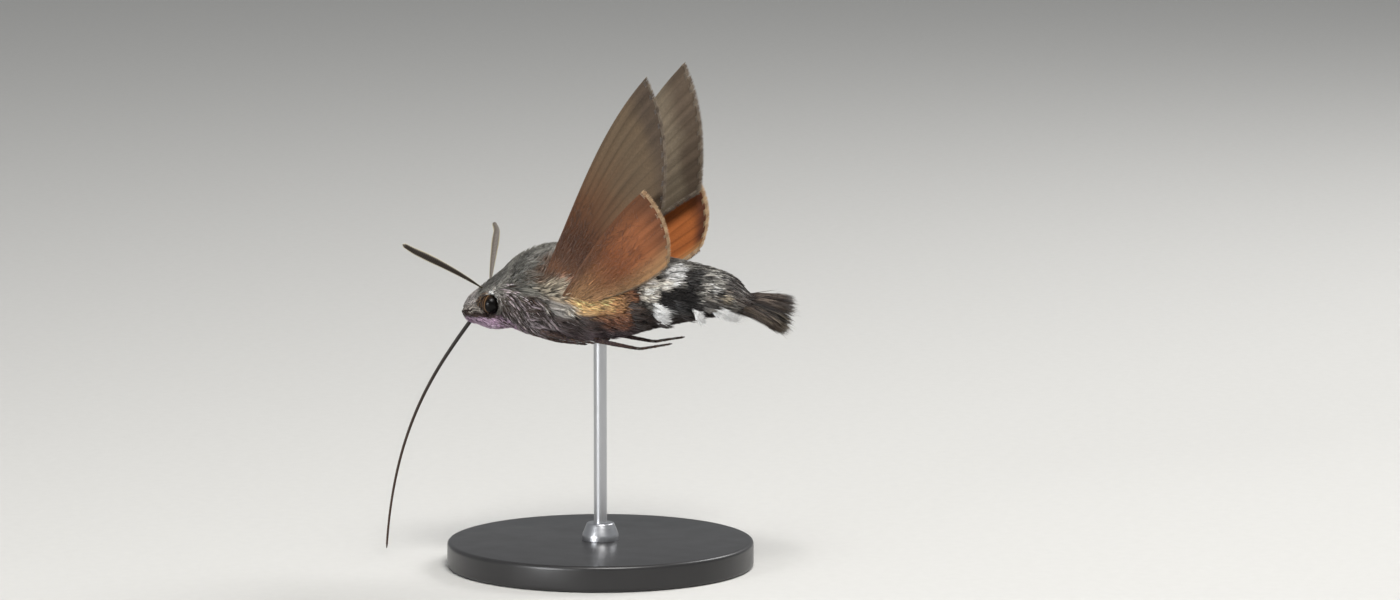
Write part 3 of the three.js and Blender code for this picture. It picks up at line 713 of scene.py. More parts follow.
def pelt(hull, y_range, turn_range, density, size, keep=None, clump=(0.8, 0.4)):
    """A dense undercoat and a longer, sparser top coat. size gives length and width at y."""
    batches = []
    for share, reach, rise, shade in LAYERS:
        y, turn = scatter(hull, y_range, turn_range, density * share)
        length, width = size(y)
        length = length * reach * rng.uniform(0.75, 1.25, len(y))
        width = width * rng.uniform(0.75, 1.25, len(y))
        stand = hull.depth(y) * rng.uniform(*rise, len(y))
        batches.append(fur(hull, (y, turn), (length, width, stand), clump=clump, shade=shade, keep=keep))
    return batches


def lock_curves(hull, tiers, side):
    """The locks' own curves on one side, their normals, widths and roots."""
    rows = []
    for start, end, count, reach, width, stand in tiers:
        for t in np.linspace(0, 1, count):
            y = mix(start[0], end[0], t) + rng.uniform(-0.16, 0.16)
            turn = mix(start[1], end[1], t) + rng.uniform(-3, 3)
            rows.append((y, turn, *reach, width, stand))
    y, turn, step_y, step_turn, width, stand = np.array(rows).T
    turn, step_turn = turn * DEG, step_turn * DEG
    if side < 0:
        turn, step_turn = math.pi - turn, -step_turn
    depth = hull.depth(y)
    p0 = hull.at(y, turn, 0.0)
    p1 = hull.at(y + step_y * 0.5, turn + step_turn * 0.5, depth + 0.1 + stand * 0.6)
    p2 = hull.at(y + step_y, turn + step_turn, depth + stand)
    return (p0, p1, p2), hull.normal(y, turn), width, hull.unwrap(y, turn)


def bundle(locks, hairs, thick, hair_width, tint=None, shade=(0.6, 1.25), loose=0.06):
    """Fine hairs that fill the room of flat locks; loose ones stray at their tips."""
    curves, normal, width, uv = locks
    p0, p1, p2 = (np.repeat(c, hairs, axis=0) for c in curves)
    normal, uv, width = (np.repeat(v, hairs, axis=0) for v in (normal, uv, width))
    count = len(p0)
    side = unit(np.cross(p2 - p0, normal))
    across = rng.uniform(-1, 1, count)
    deep = rng.uniform(-1, 1, count)
    reach = 1 - 0.35 * across**2 - 0.25 * rng.random(count)
    aside = side * (across * width / 2)[:, None]
    up = normal * (deep * thick / 2)[:, None]
    q0 = p0 + aside * 0.7 + up * 0.6
    q1 = p1 + aside * 1.1 + up * 1.1
    q2 = bezier((p0, p1, p2), reach) + aside * 0.55 + up * 0.5 + rng.normal(0, loose, (count, 3))
    tint = markings(q1) if tint is None else np.tile(tint, (count, 1))
    # Painted shade at the hairs' roots and painted light at their tips.
    tints = root_shaded_tip_lit(tint, *shade)
    wide = hair_width * rng.uniform(0.7, 1.3, count)
    spot = uv + PATCH * 3 * np.stack([across, deep], axis=1)
    return tufts((q0, q1, q2), normal, wide, tints, spot, FUR_FLAT)


# Materials

class Shader:
    """A new node material. Its methods add nodes and give back their outputs."""

    def __init__(self, name):
        self.material = bpy.data.materials.new(name)
        self.material.use_nodes = True
        self.nodes = self.material.node_tree.nodes
        self.links = self.material.node_tree.links
        self.surface = self.nodes["Principled BSDF"]

    def fill(self, node, inputs):
        """Links a node's inputs, or sets their numbers and colours, by name or place."""
        for key, value in inputs.items():
            if isinstance(value, bpy.types.NodeSocket):
                self.links.new(value, node.inputs[key])
            elif isinstance(value, np.ndarray):
                node.inputs[key].default_value = (*value, 1)
            else:
                node.inputs[key].default_value = value

    def add(self, kind, inputs, **settings):
        node = self.nodes.new("ShaderNode" + kind)
        for name, value in settings.items():
            setattr(node, name, value)
        self.fill(node, inputs)
        return node

    def place(self):
        """The place on the object."""
        return self.add("TexCoord", {}).outputs["Object"]

    def tint(self):
        """The colour kept on the mesh."""
        return self.add("Attribute", {}, attribute_name="tint").outputs["Color"]

    def noise(self, scale, detail, vector=None):
        """A noise texture's value, over the object unless another vector is given."""
        inputs = {"Scale": scale, "Detail": detail, "Vector": vector or self.place()}
        return self.add("TexNoise", inputs).outputs["Fac"]

    def ranged(self, value, start, end, low=0.0, high=1.0, kind="LINEAR"):
        """A value between start and end carried over to between low and high."""
        inputs = {"From Min": start, "From Max": end, "To Min": low, "To Max": high, "Value": value}
        return self.add("MapRange", inputs, interpolation_type=kind).outputs["Result"]

    def maths(self, operation, *values):
        return self.add("Math", dict(enumerate(values)), operation=operation).outputs[0]

    def scaled(self, colour, factor):
        """A colour made lighter or darker by a factor."""
        return self.add("VectorMath", {0: colour, "Scale": factor}, operation="SCALE").outputs[0]

    def blended(self, share, a, b):
        """Colour a turning into colour b; each is a colour or a socket."""
        node = self.add("Mix", {"Factor": share}, data_type="RGBA")
        places = [i for i, socket in enumerate(node.inputs) if socket.type == "RGBA"]
        self.fill(node, dict(zip(places, (a, b))))
        return next(s for s in node.outputs if s.type == "RGBA")

    def band(self, value, low, high, soft):
        """A soft mask that is 1 between two values."""
        rise = self.ranged(value, low - soft, low + soft, kind="SMOOTHSTEP")
        fall = self.ranged(value, high - soft, high + soft, 1, 0, kind="SMOOTHSTEP")
        return self.maths("MULTIPLY", rise, fall)

    def gloss(self, roughness, specular, sheen=0.0):
        settings = {"Specular IOR Level": specular, "Sheen Weight": sheen, "Sheen Roughness": 0.4}
        self.fill(self.surface, {"Roughness": roughness, **settings})

    def bump(self, height, strength, distance):
        node = self.add("Bump", {"Strength": strength, "Distance": distance, "Height": height})
        self.fill(self.surface, {"Normal": node.outputs["Normal"]})

    def grained(self, grain, start, end, low, high, colour=None):
        """Gives the surface a colour, or the mesh's own tint, broken up by a grain."""
        colour = colour or self.tint()
        factor = self.ranged(grain, start, end, low, high)
        self.fill(self.surface, {"Base Color": self.scaled(colour, factor)})


def tinted_material(name, roughness, specular, sheen, scale, low, high):
    """The painted tint, broken up by a fine grain that also stands out as bump."""
    shader = Shader(name)
    grain = shader.noise(scale, 3.0)
    shader.grained(grain, 0.25, 0.75, low, high)
    shader.gloss(roughness, specular, sheen)
    shader.bump(grain, 0.25, 0.00004)
    return shader.material


COAT = tinted_material("coat", 0.65, 0.25, 0.15, 9000, 0.85, 1.15)
SKIN = tinted_material("skin", 0.85, 0.2, 0.05, 5000, 0.6, 1.0)
LONG_SCALES = tinted_material("long_scales", 0.55, 0.3, 0.12, 8000, 0.85, 1.15)
HORN = tinted_material("horn", 0.45, 0.4, 0.0, 6000, 0.75, 1.2)


# Skin

def union_of(base, others):
    """One closed skin of several meshes."""
    for other in others:
        cut = base.modifiers.new("join", "BOOLEAN")
        cut.operation = "UNION"
        cut.solver = "EXACT"
        cut.object = other
    graph = bpy.context.evaluated_depsgraph_get()
    joined = bpy.data.meshes.new_from_object(base.evaluated_get(graph))
    base.modifiers.clear()
    old = base.data
    base.data = joined
    bpy.data.meshes.remove(old)
    for other in others:
        bpy.data.objects.remove(other)


def leg_line(name, side):
    """A leg's centre line and radii, rounded at its joints."""
    joints = [np.array(p) * (side, 1, 1) for p in LEGS[name]]
    centres, radii = [], []
    for i in range(3):
        t = np.linspace(0, 1, 14, endpoint=i == 2)
        swell = LEG_SWELL[i] * np.sin(math.pi * t)
        centres.append(blend(joints[i], joints[i + 1], t))
        radii.append(mix(LEG_RADIUS[i], LEG_RADIUS[i + 1], t) * (1 + swell))
    centres, radii = np.concatenate(centres), np.concatenate(radii)
    for _ in range(3):
        centres[1:-1] = (centres[:-2] + 2 * centres[1:-1] + centres[2:]) / 4
    radii[-1] *= 0.5
    return centres, radii


def body_skin():
    """One closed skin of body, lip feelers and legs, in a darker tone of the coat's colours."""
    skin = mesh_piece("skin", *BODY.loft(150, 72))
    others = []
    for side in (1, -1):
        others.append(mesh_piece(f"palp_part_{side}", *PALP_HULLS[side].loft(40, 28)))
        for name in LEGS:
            others.append(mesh_piece(f"{name}_part_{side}", *tube(*leg_line(name, side), 10)))
    union_of(skin, others)
    flat = np.zeros(len(skin.data.vertices) * 3, np.float32)
    skin.data.vertices.foreach_get("co", flat)
    points = flat.reshape(-1, 3) / MM - (0, 0, AXIS_HEIGHT)
    set_tint(skin.data, markings(points) * 0.5)
    skin.data.shade_smooth()
    legs = [f"{name}_{end}" for name in LEGS for end in ("left", "right")]
    finished(skin, SKIN, "coat_grey", "head", "thorax", "abdomen", "palp_left", "palp_right", *legs)


# Coat of the body

def eye_centre(side):
    return np.array([EYE["out"] * side, EYE["y"], EYE["z"]])


def off_the_eyes(p0, p1, p2, bare=0.84):
    """Which tufts keep clear of both eyeballs and leave a share of their faces bare."""
    keep = np.ones(len(p0), bool)
    for side in (1, -1):
        centre = eye_centre(side)
        for p in (p0, bezier((p0, p1, p2), np.full(len(p0), 0.5)), p2):
            apart = p - centre
            outside = np.linalg.norm(apart, axis=1) > EYE["radius"] + 0.02
            rim = np.linalg.norm(apart[:, 1:], axis=1) > EYE["radius"] * bare
            keep &= outside & (rim | (p[:, 0] * side < 0))
    return keep


def over_the_rims(p0, p1, p2):
    """Which tufts may hang a little way over the eyes."""
    return off_the_eyes(p0, p1, p2, 0.64)


def sized(y_small, y_full, small, full):
    """Length and width of the coat's tufts, turning from one pair into another along y."""
    def size(y):
        t = smoothstep(y, y_small, y_full)
        return mix(small[0], full[0], t), mix(small[1], full[1], t)

    return size


HEAD_SIZE = sized(-12.2, -8.6, (0.28, 0.06), (0.66, 0.095))
BACK_SIZE = sized(-8.5, 1.5, (0.5, 0.085), (1.05, 0.12))
BREAST_SIZE = sized(-9.0, -6.5, (0.9, 0.11), (1.3, 0.135))
ABDOMEN_SIZE = sized(2.0, 5.0, (1.2, 0.13), (1.0, 0.125))


def turns_on(side, low, high):
    """The range of turns between two angles in degrees up from one side."""
    return (low * DEG, high * DEG) if side > 0 else (math.pi - high * DEG, math.pi - low * DEG)


def lash_tint(around):
    """Pale above and behind the eye, brown and dark before it."""
    count = len(around)
    pale = smoothstep(np.cos(around), -0.3, 0.2) * smoothstep(np.sin(around), -0.3, 0.5)
    pale = pale * (rng.random(count) < 0.38)
    front = np.where(rng.random((count, 1)) < 0.3, paint(150, 118, 82), paint(44, 31, 24))
    front = np.where((np.cos(around) > 0.1)[:, None], mix(DARK_BROWN, GREY, 0.4), front)
    return blend(front, mix(PALE_GREY, WHITE, 0.3), pale)


def eye_lashes(side):
    """Short scales that run down round the eye from its top."""
    count = COUNT["lashes"]
    around = rng.uniform(0, 2 * math.pi, count)
    ring = rng.uniform(0.75, 1.35, count)
    y = EYE["y"] + ring * np.cos(around)
    turn = BODY.turn_of(y, EYE["z"] + ring * np.sin(around), side)
    back = np.abs(np.cos(around))
    lie = np.arctan2(back, np.sin(around) * np.sign(np.cos(around)))
    size = (rng.uniform(0.28, 0.5, count), rng.uniform(0.045, 0.08, count))
    stand = BODY.depth(y) * rng.uniform(0.75, 1.15, count)
    tint = lash_tint(around)
    return fur(BODY, (y, turn), (*size, stand), lie, tint, (0.3, 0.1), keep=over_the_rims)


def neck_streaks(side):
    """Long pale and dark scales that run from behind the eye down over the breast."""
    count = COUNT["neck"]
    y = rng.uniform(-9.2, -4.4, count)
    z = mix(1.3 - 0.25 * (y + 9.0), -2.9, rng.random(count))
    size = (rng.uniform(1.3, 2.3, count), rng.uniform(0.06, 0.11, count))
    stand = BODY.depth(y) * rng.uniform(0.95, 1.2, count)
    choice = rng.random((count, 1))
    # The pale streaks are tinted lilac by a painted reflection.
    tint = np.where(choice < 0.34, mix(PALE_GREY, LILAC_REFLECTION, 0.35) * 1.35, DARK_BROWN * 0.7)
    tint = np.where(choice > 0.88, mix(GREY, BROWN, 0.4), tint)
    place = (y, BODY.turn_of(y, z, side))
    # The same painted shadow under the tegula darkens the streaks there.
    tint = patched(BODY.at(*place), [(DARK_BROWN * 0.8, TEGULA_SHADOW, (2.0, 1.2, 0.6), 0.9)], tint)
    return fur(BODY, place, (*size, stand), None, tint, (0.7, 0.45), (0.6, 1.15), off_the_eyes)


def head_coat():
    round_it = (-math.pi, math.pi)
    head = pelt(BODY, STRETCH["head"], round_it, DENSITY["head"], HEAD_SIZE, off_the_eyes, (0.4, 0.25))
    head += [eye_lashes(side) for side, _ in ENDS]
    coat_piece("coat_head", head, COAT, "coat_grey")


def back_coat(side, end):
    above = turns_on(side, 16, 90)
    coat = pelt(BODY, STRETCH["thorax"], above, DENSITY["back"], BACK_SIZE, clump=(0.5, 0.25))
    coat.append(bundle(lock_curves(BODY, BACK_LOCKS, side), 50, 0.3, 0.08))
    coat_piece(f"coat_back_{end}", coat, COAT, "coat_grey")


def breast_coat(side, end):
    below = turns_on(side, -90, 18)
    coat = pelt(BODY, STRETCH["thorax"], below, DENSITY["breast"], BREAST_SIZE, off_the_eyes)
    coat.append(bundle(lock_curves(BODY, BREAST_LOCKS, side), 60, 0.3, 0.1))
    coat.append(neck_streaks(side))
    coat_piece(f"coat_breast_{end}", coat, COAT, "coat_grey")


def abdomen_coat(side, end):
    half = turns_on(side, -90, 90)
    coat = pelt(BODY, STRETCH["abdomen"], half, DENSITY["abdomen"], ABDOMEN_SIZE)
    coat.append(bundle(lock_curves(BODY, ABDOMEN_LOCKS, side), 50, 0.4, 0.11))
    white = lock_curves(BODY, WHITE_TUFTS, side)
    coat.append(bundle(white, 120, 0.6, 0.09, WHITE, (0.95, 1.2), 0.2))
    coat_piece(f"coat_abdomen_{end}", coat, COAT, "coat_chequered")


def body_coat():
    head_coat()
    for side, end in ENDS:
        back_coat(side, end)
        breast_coat(side, end)
        abdomen_coat(side, end)
    for side, end in ENDS:
        palp_coat(side, end)


def palp_tint(p, rear):
    """Lilac, a painted reflection of a purple flower's light on the white palp, with a dark line and a
    grey-brown edge over it, and streaked at the rear.
    """
    tint = blend(LILAC_REFLECTION, WHITE, 0.22 * value_noise(p, 0.5))
    height = p[:, 2] + 0.2 * (value_noise(p, 0.4) - 0.5)
    tint = blend(tint, DARK_BROWN, (1 - rear) * smoothstep(height, -1.75, -1.6))
    tint = blend(tint, mix(PALE_GREY, BROWN, 0.4), (1 - rear) * smoothstep(height, -1.35, -1.15))
    dark = rear * (rng.random(len(p)) < 0.45)
    return blend(tint, DARK_BROWN, dark)


def palp_coat(side, end):
    """A lip feeler's fine coat, on the outer half that shows."""
    hull = PALP_HULLS[side]

    def on_its_side(p0, p1, p2):
        return off_the_eyes(p0, p1, p2) & (p0[:, 0] * side > 0)

    y, turn = scatter(hull, STRETCH["palp"], (-math.pi, math.pi), DENSITY["palp"])
    grown = smoothstep(y, -12.9, -10.0)
    rear = smoothstep(y, -10.1, -8.9)
    length = (mix(0.25, 0.6, grown) + 0.4 * rear) * rng.uniform(0.8, 1.2, len(y))
    width = mix(0.06, 0.1, grown) * rng.uniform(0.8, 1.2, len(y))
    size = (length, width, rng.uniform(0.08, 0.22, len(y)))
    tint = palp_tint(hull.at(y, turn), rear)
    coat = fur(hull, (y, turn), size, 0.6 * rear, tint, (0.5, 0.2), (0.7, 1.1), on_its_side)
    coat_piece(f"coat_palp_{end}", [coat], COAT, "coat_pale")


def fan_strands():
    """Each scale's strand, that strand's middle, and the scale's own place in the fan."""
    count = FAN["scales"]
    strand = rng.integers(0, FAN["strands"], count)
    middle = rng.uniform(-1, 1, (FAN["strands"], 2))[strand]
    share = np.clip(middle[:, 0] + rng.normal(0, 0.12, count), -1, 1)
    tier = np.clip(middle[:, 1] + rng.normal(0, 0.3, count), -1, 1)
    return strand, middle, share, tier


def fan_curves(strand, middle, share, tier):
    """The scales' curves before the fan is rolled, and how far out each one reaches."""
    count = len(strand)
    reach = (FAN["reach"] - 0.5 * np.abs(tier)) * (1 - 0.08 * share**2) * (1 + 0.1 * share)
    reach = reach * rng.uniform(0.84, 1.0, FAN["strands"])[strand] * (1 - 0.32 * rng.random(count) ** 1.4)
    front, height = FAN["front"], FAN["height"]
    root_y = front - rng.random(count)
    root = np.stack([share * FAN["root_half"], root_y, height - 0.1 + tier * 0.38], axis=1)
    far = reach / FAN["reach"]
    tip_x = mix(share, middle[:, 0], 0.75) * FAN["tip_half"] * mix(0.35, 1.0, far)
    tip_z = height - FAN["droop"] * far**1.3 + middle[:, 1] * 0.45
    tip = np.stack([tip_x, front + reach, tip_z], axis=1)
    tip = tip + rng.normal(0, 0.07, (count, 3)) * np.where(rng.random((count, 1)) < 0.12, 2.6, 1.0)
    bend = mix(root, tip, (0.38, 0.5, 0.5))
    bend[:, 2] = height - 0.15 + tier * 0.5
    return (root, bend, tip), far


def fan_shades(strand, share, far):
    """The scales' root and tip colours: brown or black by strand, some tips pale."""
    count = len(strand)
    brown = (rng.random(FAN["strands"]) < 0.6)[strand] & (rng.random(count) < 0.75)
    black = np.exp(-(((share - 0.5) / 0.28) ** 2))
    tint = np.where(brown[:, None], mix(BROWN, GREY, 0.4) * 0.62, mix(DARK_BROWN, BLACK, 0.6))
    tint = blend(tint, BLACK, 0.85 * black)
    root, tip = root_shaded_tip_lit(tint, 0.6, 1.25, 0.35)
    pale = smoothstep(far, 0.8, 1.0) * (rng.random(count) < 0.4 + 0.3 * share)
    return root, blend(tip, CREAM, 0.6 * pale)


def tail_fan():
    """Long flat scales on the skin's end, spread, drooping and rolled down to the left."""
    strand, middle, share, tier = fan_strands()
    curve, far = fan_curves(strand, middle, share, tier)
    roll = np.array(Matrix.Rotation(FAN["roll"] * DEG, 3, "Y"))
    pivot = np.array([0, 0, FAN["height"]])
    curve = [(p - pivot) @ roll.T + pivot for p in curve]
    normal = np.sign(tier)[:, None] * (roll @ np.array([0, 0, 1.0]))
    tints = fan_shades(strand, share, far)
    width = rng.uniform(0.06, 0.13, len(share))
    x, y, z = curve[0].T
    spot = BODY.unwrap(y, np.arctan2(z - FAN["height"], x))
    fan = tufts(curve, normal, width, tints, spot)
    coat_piece("tail_fan_scales", [fan], LONG_SCALES, "coat_dark", "tail_fan")


# Wings

class Wing:
    """A wing's surface.

    A place on it is the share w from its leading to its trailing edge and the share r from
    its root to its outer edge.
    """

    def __init__(self, plan, side):
        self.plan = plan
        self.side = side
        corners = [np.array(plan[key]) * (side, 1, 1) for key in ("costal", "anal", "apex", "tornus")]
        self.costal, self.anal, self.apex, self.tornus = corners
        span = unit(self.apex - self.costal)
        chord = self.tornus - self.costal
        chord = unit(chord - span * (chord @ span))
        self.up = unit(np.cross(span, chord) * side)
        outer = unit(self.tornus - self.apex)
        outwards = unit(span - outer * (span @ outer))
        self.edges = [
            self.edge(self.costal, self.apex, plan["costa_bow"], -chord),
            self.edge(self.anal, self.tornus, plan["inner_bow"], chord),
            self.edge(self.apex, self.tornus, plan["outer_bow"], outwards),
        ]
        self.length = np.linalg.norm(self.apex - self.costal)
        self.end = 1 - FRINGE * 0.85 / self.length

    @staticmethod
    def edge(start, end, bows, along):
        return [
            start,
            mix(start, end, 1 / 3) + along * bows[0],
            mix(start, end, 2 / 3) + along * bows[1],
            end,
        ]

    def at(self, w, r, height=0.0):
        """The point at a place, a height over the wing's middle layer."""
        w, r, height = aligned(w, r, height)
        costa, inner, outer = self.edges
        across, along = w[..., None], r[..., None]
        root = mix(self.costal, self.anal, across)
        ruled = mix(bezier(costa, r), bezier(inner, r), across)
        spread = mix(root, bezier(outer, w), along)
        corners = mix(root, mix(self.apex, self.tornus, across), along)
        hump = self.plan["camber"] * 4 * w * (1 - w) * np.sin(math.pi * r * 0.75)
        return ruled + spread - corners + self.up * (hump + height)[..., None]

    def vein(self, w, r):
        """How near a place is to a main vein, from 0 to 1."""
        chord = np.linalg.norm(self.at(1.0, r) - self.at(0.0, r), axis=-1)
        spread = smoothstep(r, VEINS_SPREAD_FROM, 1.0)
        near = np.zeros(np.broadcast(w, r).shape)
        for stem, end in self.plan["veins"]:
            away = np.abs(w - mix(stem, end, spread)) * chord
            near = np.maximum(near, np.exp(-((away / mix(0.11, 0.07, r)) ** 2)))
        return near


def zones(colour, value, *steps):
    """A colour that turns into the next one at each step's value, over its width."""
    colour = np.broadcast_to(colour, (len(value), 3))
    for at, width, tint in steps:
        colour = blend(colour, tint, smoothstep(value, at - width, at + width))
    return colour


def fore_above(w, r):
    """Grey-brown bands on the forewing's upper face."""
    return zones(
        paint(74, 63, 53),
        r,
        (0.22, 0.06, paint(102, 91, 76)),
        (0.42, 0.08, paint(120, 110, 94)),
        (0.66, 0.08, paint(98, 87, 72)),
        (0.86, 0.05, paint(76, 64, 52)),
    )


def fore_below(w, r):
    """Rust at the root of the forewing's lower face, grey-brown further out."""
    return zones(
        paint(100, 66, 42),
        r - 0.06 * w,
        (0.12, 0.1, paint(82, 50, 30)),
        (0.42, 0.16, paint(90, 69, 50)),
        (0.62, 0.14, paint(88, 73, 56)),
        (0.88, 0.06, paint(70, 58, 47)),
    )


def hind_above(w, r):
    """Orange between a dark root and a dark margin."""
    colour = zones(paint(70, 44, 30), r, (0.16, 0.08, paint(156, 88, 42)), (0.88, 0.07, paint(84, 46, 28)))
    return zones(colour, w, (0.9, 0.08, paint(170, 122, 76)))


def hind_below(w, r):
    """Orange-brown, ochre at the root and the hind edge and dark at the front edge."""
    colour = zones(paint(144, 110, 76), r, (0.3, 0.22, paint(138, 84, 52)), (0.86, 0.1, paint(104, 64, 42)))
    colour = zones(colour, w, (0.78, 0.18, paint(160, 122, 86)))
    return blend(paint(86, 54, 34), colour, smoothstep(w, -0.08, 0.36))


# How far along u the lower face lies beside the upper one on a wing's own UV map.
LOWER_FACE_SHIFT = 2.0


def wing_tint(wing, painted, w, r):
    """A wing face's colour, streaked along the veins and darker on them."""
    w, r = (v.ravel() for v in np.broadcast_arrays(w, r))
    fan = np.stack([w * 26, r * 3.2, np.full(w.size, float(wing.side))], axis=1)
    blotch = value_noise(wing.at(w, r), 1.6)
    colour = painted(w, r + 0.07 * (blotch - 0.5))
    tone = mix(0.82, 1.18, value_noise(fan, 1.0)) * (1 - 0.22 * wing.vein(w, r))
    return colour * tone[:, None]


def plate_faces(along, across):
    """The quads round both faces of a plate, and the strips that close its root and end."""
    columns = 2 * across
    near = np.arange(across - 1)
    far = columns - 1 - near
    last = (along - 1) * columns
    root = np.stack([near + 1, near, far, far - 1], axis=1)
    outer = np.stack([last + near, last + near + 1, last + far - 1, last + far], axis=1)
    return [grid_faces(along, columns), root, outer]


def both_faces(upper, lower):
    """Values on a plate's upper face, carried on backwards over its lower face."""
    return np.concatenate([upper, lower[:, ::-1]], axis=1).reshape(-1, upper.shape[-1])


def wing_plate(wing, painted, name, material, slot, node):
    """A thin membrane with its veins raised on both faces; painted colours each face."""
    across, along = PLATE["across"], PLATE["along"]
    w = np.linspace(0, 1, across)[None, :]
    r = np.linspace(0, wing.end, along)[:, None]
    rim = np.minimum(np.minimum(w, 1 - w) * 12, (1 - r) * 10)
    veins = PLATE["vein"] * wing.vein(w, r) * mix(1.0, 0.55, r)
    half = (PLATE["thick"] * np.clip(0.35 + rim, 0.3, 1) + veins) / 2
    waves = np.sin(w * 2 * math.pi * len(wing.plan["veins"]))
    pleats = PLATE["pleat"] * waves * smoothstep(r, 0.3, 1.0)
    points = both_faces(wing.at(w, r, pleats + half), wing.at(w, r, pleats - half))
    tint = both_faces(*(wing_tint(wing, face, w, r).reshape(along, across, 3) for face in painted))
    flat = np.stack(np.broadcast_arrays(w, r), axis=-1)
    uv = both_faces(flat, flat + (LOWER_FACE_SHIFT, 0))
    faces = plate_faces(along, across)
    faces = turned_over(faces) if wing.side > 0 else faces
    finished(mesh_piece(name, points, faces, tint, uv, "wing"), material, slot, node)


def wing_material(name, lined):
    """The painted tint under a grain of scales in rows along the veins.

    lined adds the dark wavy cross lines and the dot of the forewing's upper face.
    """
    shader = Shader(name)
    uv = shader.add("UVMap", {}, uv_map="wing").outputs["UV"]
    parts = shader.add("SeparateXYZ", {0: uv})
    lower = shader.maths("GREATER_THAN", parts.outputs["X"], 1.5)
    w = shader.maths("MULTIPLY_ADD", lower, -LOWER_FACE_SHIFT, parts.outputs["X"])
    r = parts.outputs["Y"]
    colour = shader.tint()
    if lined:
        colour = cross_lines(shader, w, r, lower, colour)
    rows = {0: shader.maths("MULTIPLY", w, 210.0), 1: shader.maths("MULTIPLY", r, 70.0)}
    grain = shader.noise(1.0, 4.0, shader.add("CombineXYZ", rows).outputs[0])
    shader.grained(grain, 0.3, 0.7, 0.78, 1.22, colour)
    shader.gloss(0.7, 0.2, 0.12)
    shader.bump(grain, 0.4, 0.00006)
    return shader.material


# The forewing's cross lines: from and to along the wing, lean, wave, waves and colour.
CROSS_LINES = [
    (0.335, 0.36, -0.05, 0.012, 19.0, paint(36, 30, 27)),
    (0.40, 0.408, -0.05, 0.012, 19.0, paint(62, 53, 46)),
    (0.70, 0.722, 0.08, 0.014, 23.0, paint(36, 30, 27)),
    (0.765, 0.775, 0.08, 0.014, 23.0, paint(64, 55, 48)),
]
LINE_SOFTNESS = 0.006
DOT = {"w": 0.27, "r": 0.52, "narrow": 0.45, "size": 0.017}


def cross_lines(shader, w, r, lower, colour):
    """Wavy dark lines across the forewing's upper face, and its dot."""
    upper = shader.maths("SUBTRACT", 1.0, lower)
    shake = shader.maths("MULTIPLY", shader.noise(900.0, 2.0), 0.05)
    for low, high, lean, wave, waves, tint in CROSS_LINES:
        ripple = shader.maths("SINE", shader.maths("MULTIPLY", w, waves))
        moved = shader.maths("MULTIPLY_ADD", ripple, wave, shader.maths("ADD", r, shake))
        line = shader.maths("MULTIPLY_ADD", w, lean, moved)
        mask = shader.maths("MULTIPLY", shader.band(line, low, high, LINE_SOFTNESS), upper)
        colour = shader.blended(mask, colour, tint)
    across = shader.maths("MULTIPLY_ADD", w, DOT["narrow"], -DOT["w"] * DOT["narrow"])
    apart = shader.add("CombineXYZ", {0: across, 1: shader.maths("ADD", r, -DOT["r"])})
    away = shader.add("VectorMath", {0: apart.outputs[0]}, operation="LENGTH").outputs["Value"]
    dot = shader.maths("MULTIPLY", shader.band(away, -1, DOT["size"], LINE_SOFTNESS), upper)
    return shader.blended(dot, colour, paint(28, 24, 22))


def face_spot(w, r, face):
    """A place's spot on a wing's unwrapped faces, the upper beside the lower one."""
    u = 0.02 + 0.46 * w + (0.5 if face < 0 else 0.0)
    return np.stack([u, 0.02 + 0.95 * np.clip(r, 0, 1)], axis=1)


def margin(wing, outer, count):
    """Places along a wing's outer or inner margin, and the way out from it at each one."""
    share = np.sort(rng.uniform(0, 1, count))
    w = share if outer else np.full(count, 1.0)
    r = np.full(count, wing.end) if outer else mix(0.1, wing.end, share)
    onward = unit(wing.at(w, r) - wing.at(w, r - 0.03))
    out = onward if outer else unit(unit(wing.at(w, r) - wing.at(w - 0.05, r)) + 0.7 * onward)
    return share, w, r, unit(out + rng.normal(0, 0.06, (count, 3)))


def fringe(wing, pale, dark):
    """Short flat scales that edge a wing's outer and inner margin."""
    batches = []
    for outer, count in ((True, COUNT["outer_fringe"]), (False, COUNT["inner_fringe"])):
        share, w, r, out = margin(wing, outer, count)
        size = FRINGE * rng.uniform(0.55, 1.0, count) * (1 if outer else 0.65)
        p0 = wing.at(w, r) - out * 0.25
        p2 = p0 + out * (size + 0.25)[:, None]
        p1 = (p0 + p2) / 2 + wing.up * rng.uniform(-0.03, 0.03, (count, 1))
        chequer = smoothstep(np.sin(share * 2 * math.pi * len(wing.plan["veins"])), 0.2, 0.8)
        tint = blend(pale, dark, chequer)
        tints = root_shaded_tip_lit(tint, 0.9, 1.1, 0.12)
        width = rng.uniform(0.035, 0.065, count)
        spot = face_spot(w, r, 1)
        batches.append(tufts((p0, p1, p2), wing.up, width, tints, spot, stations=FEW_STATIONS))
    return batches


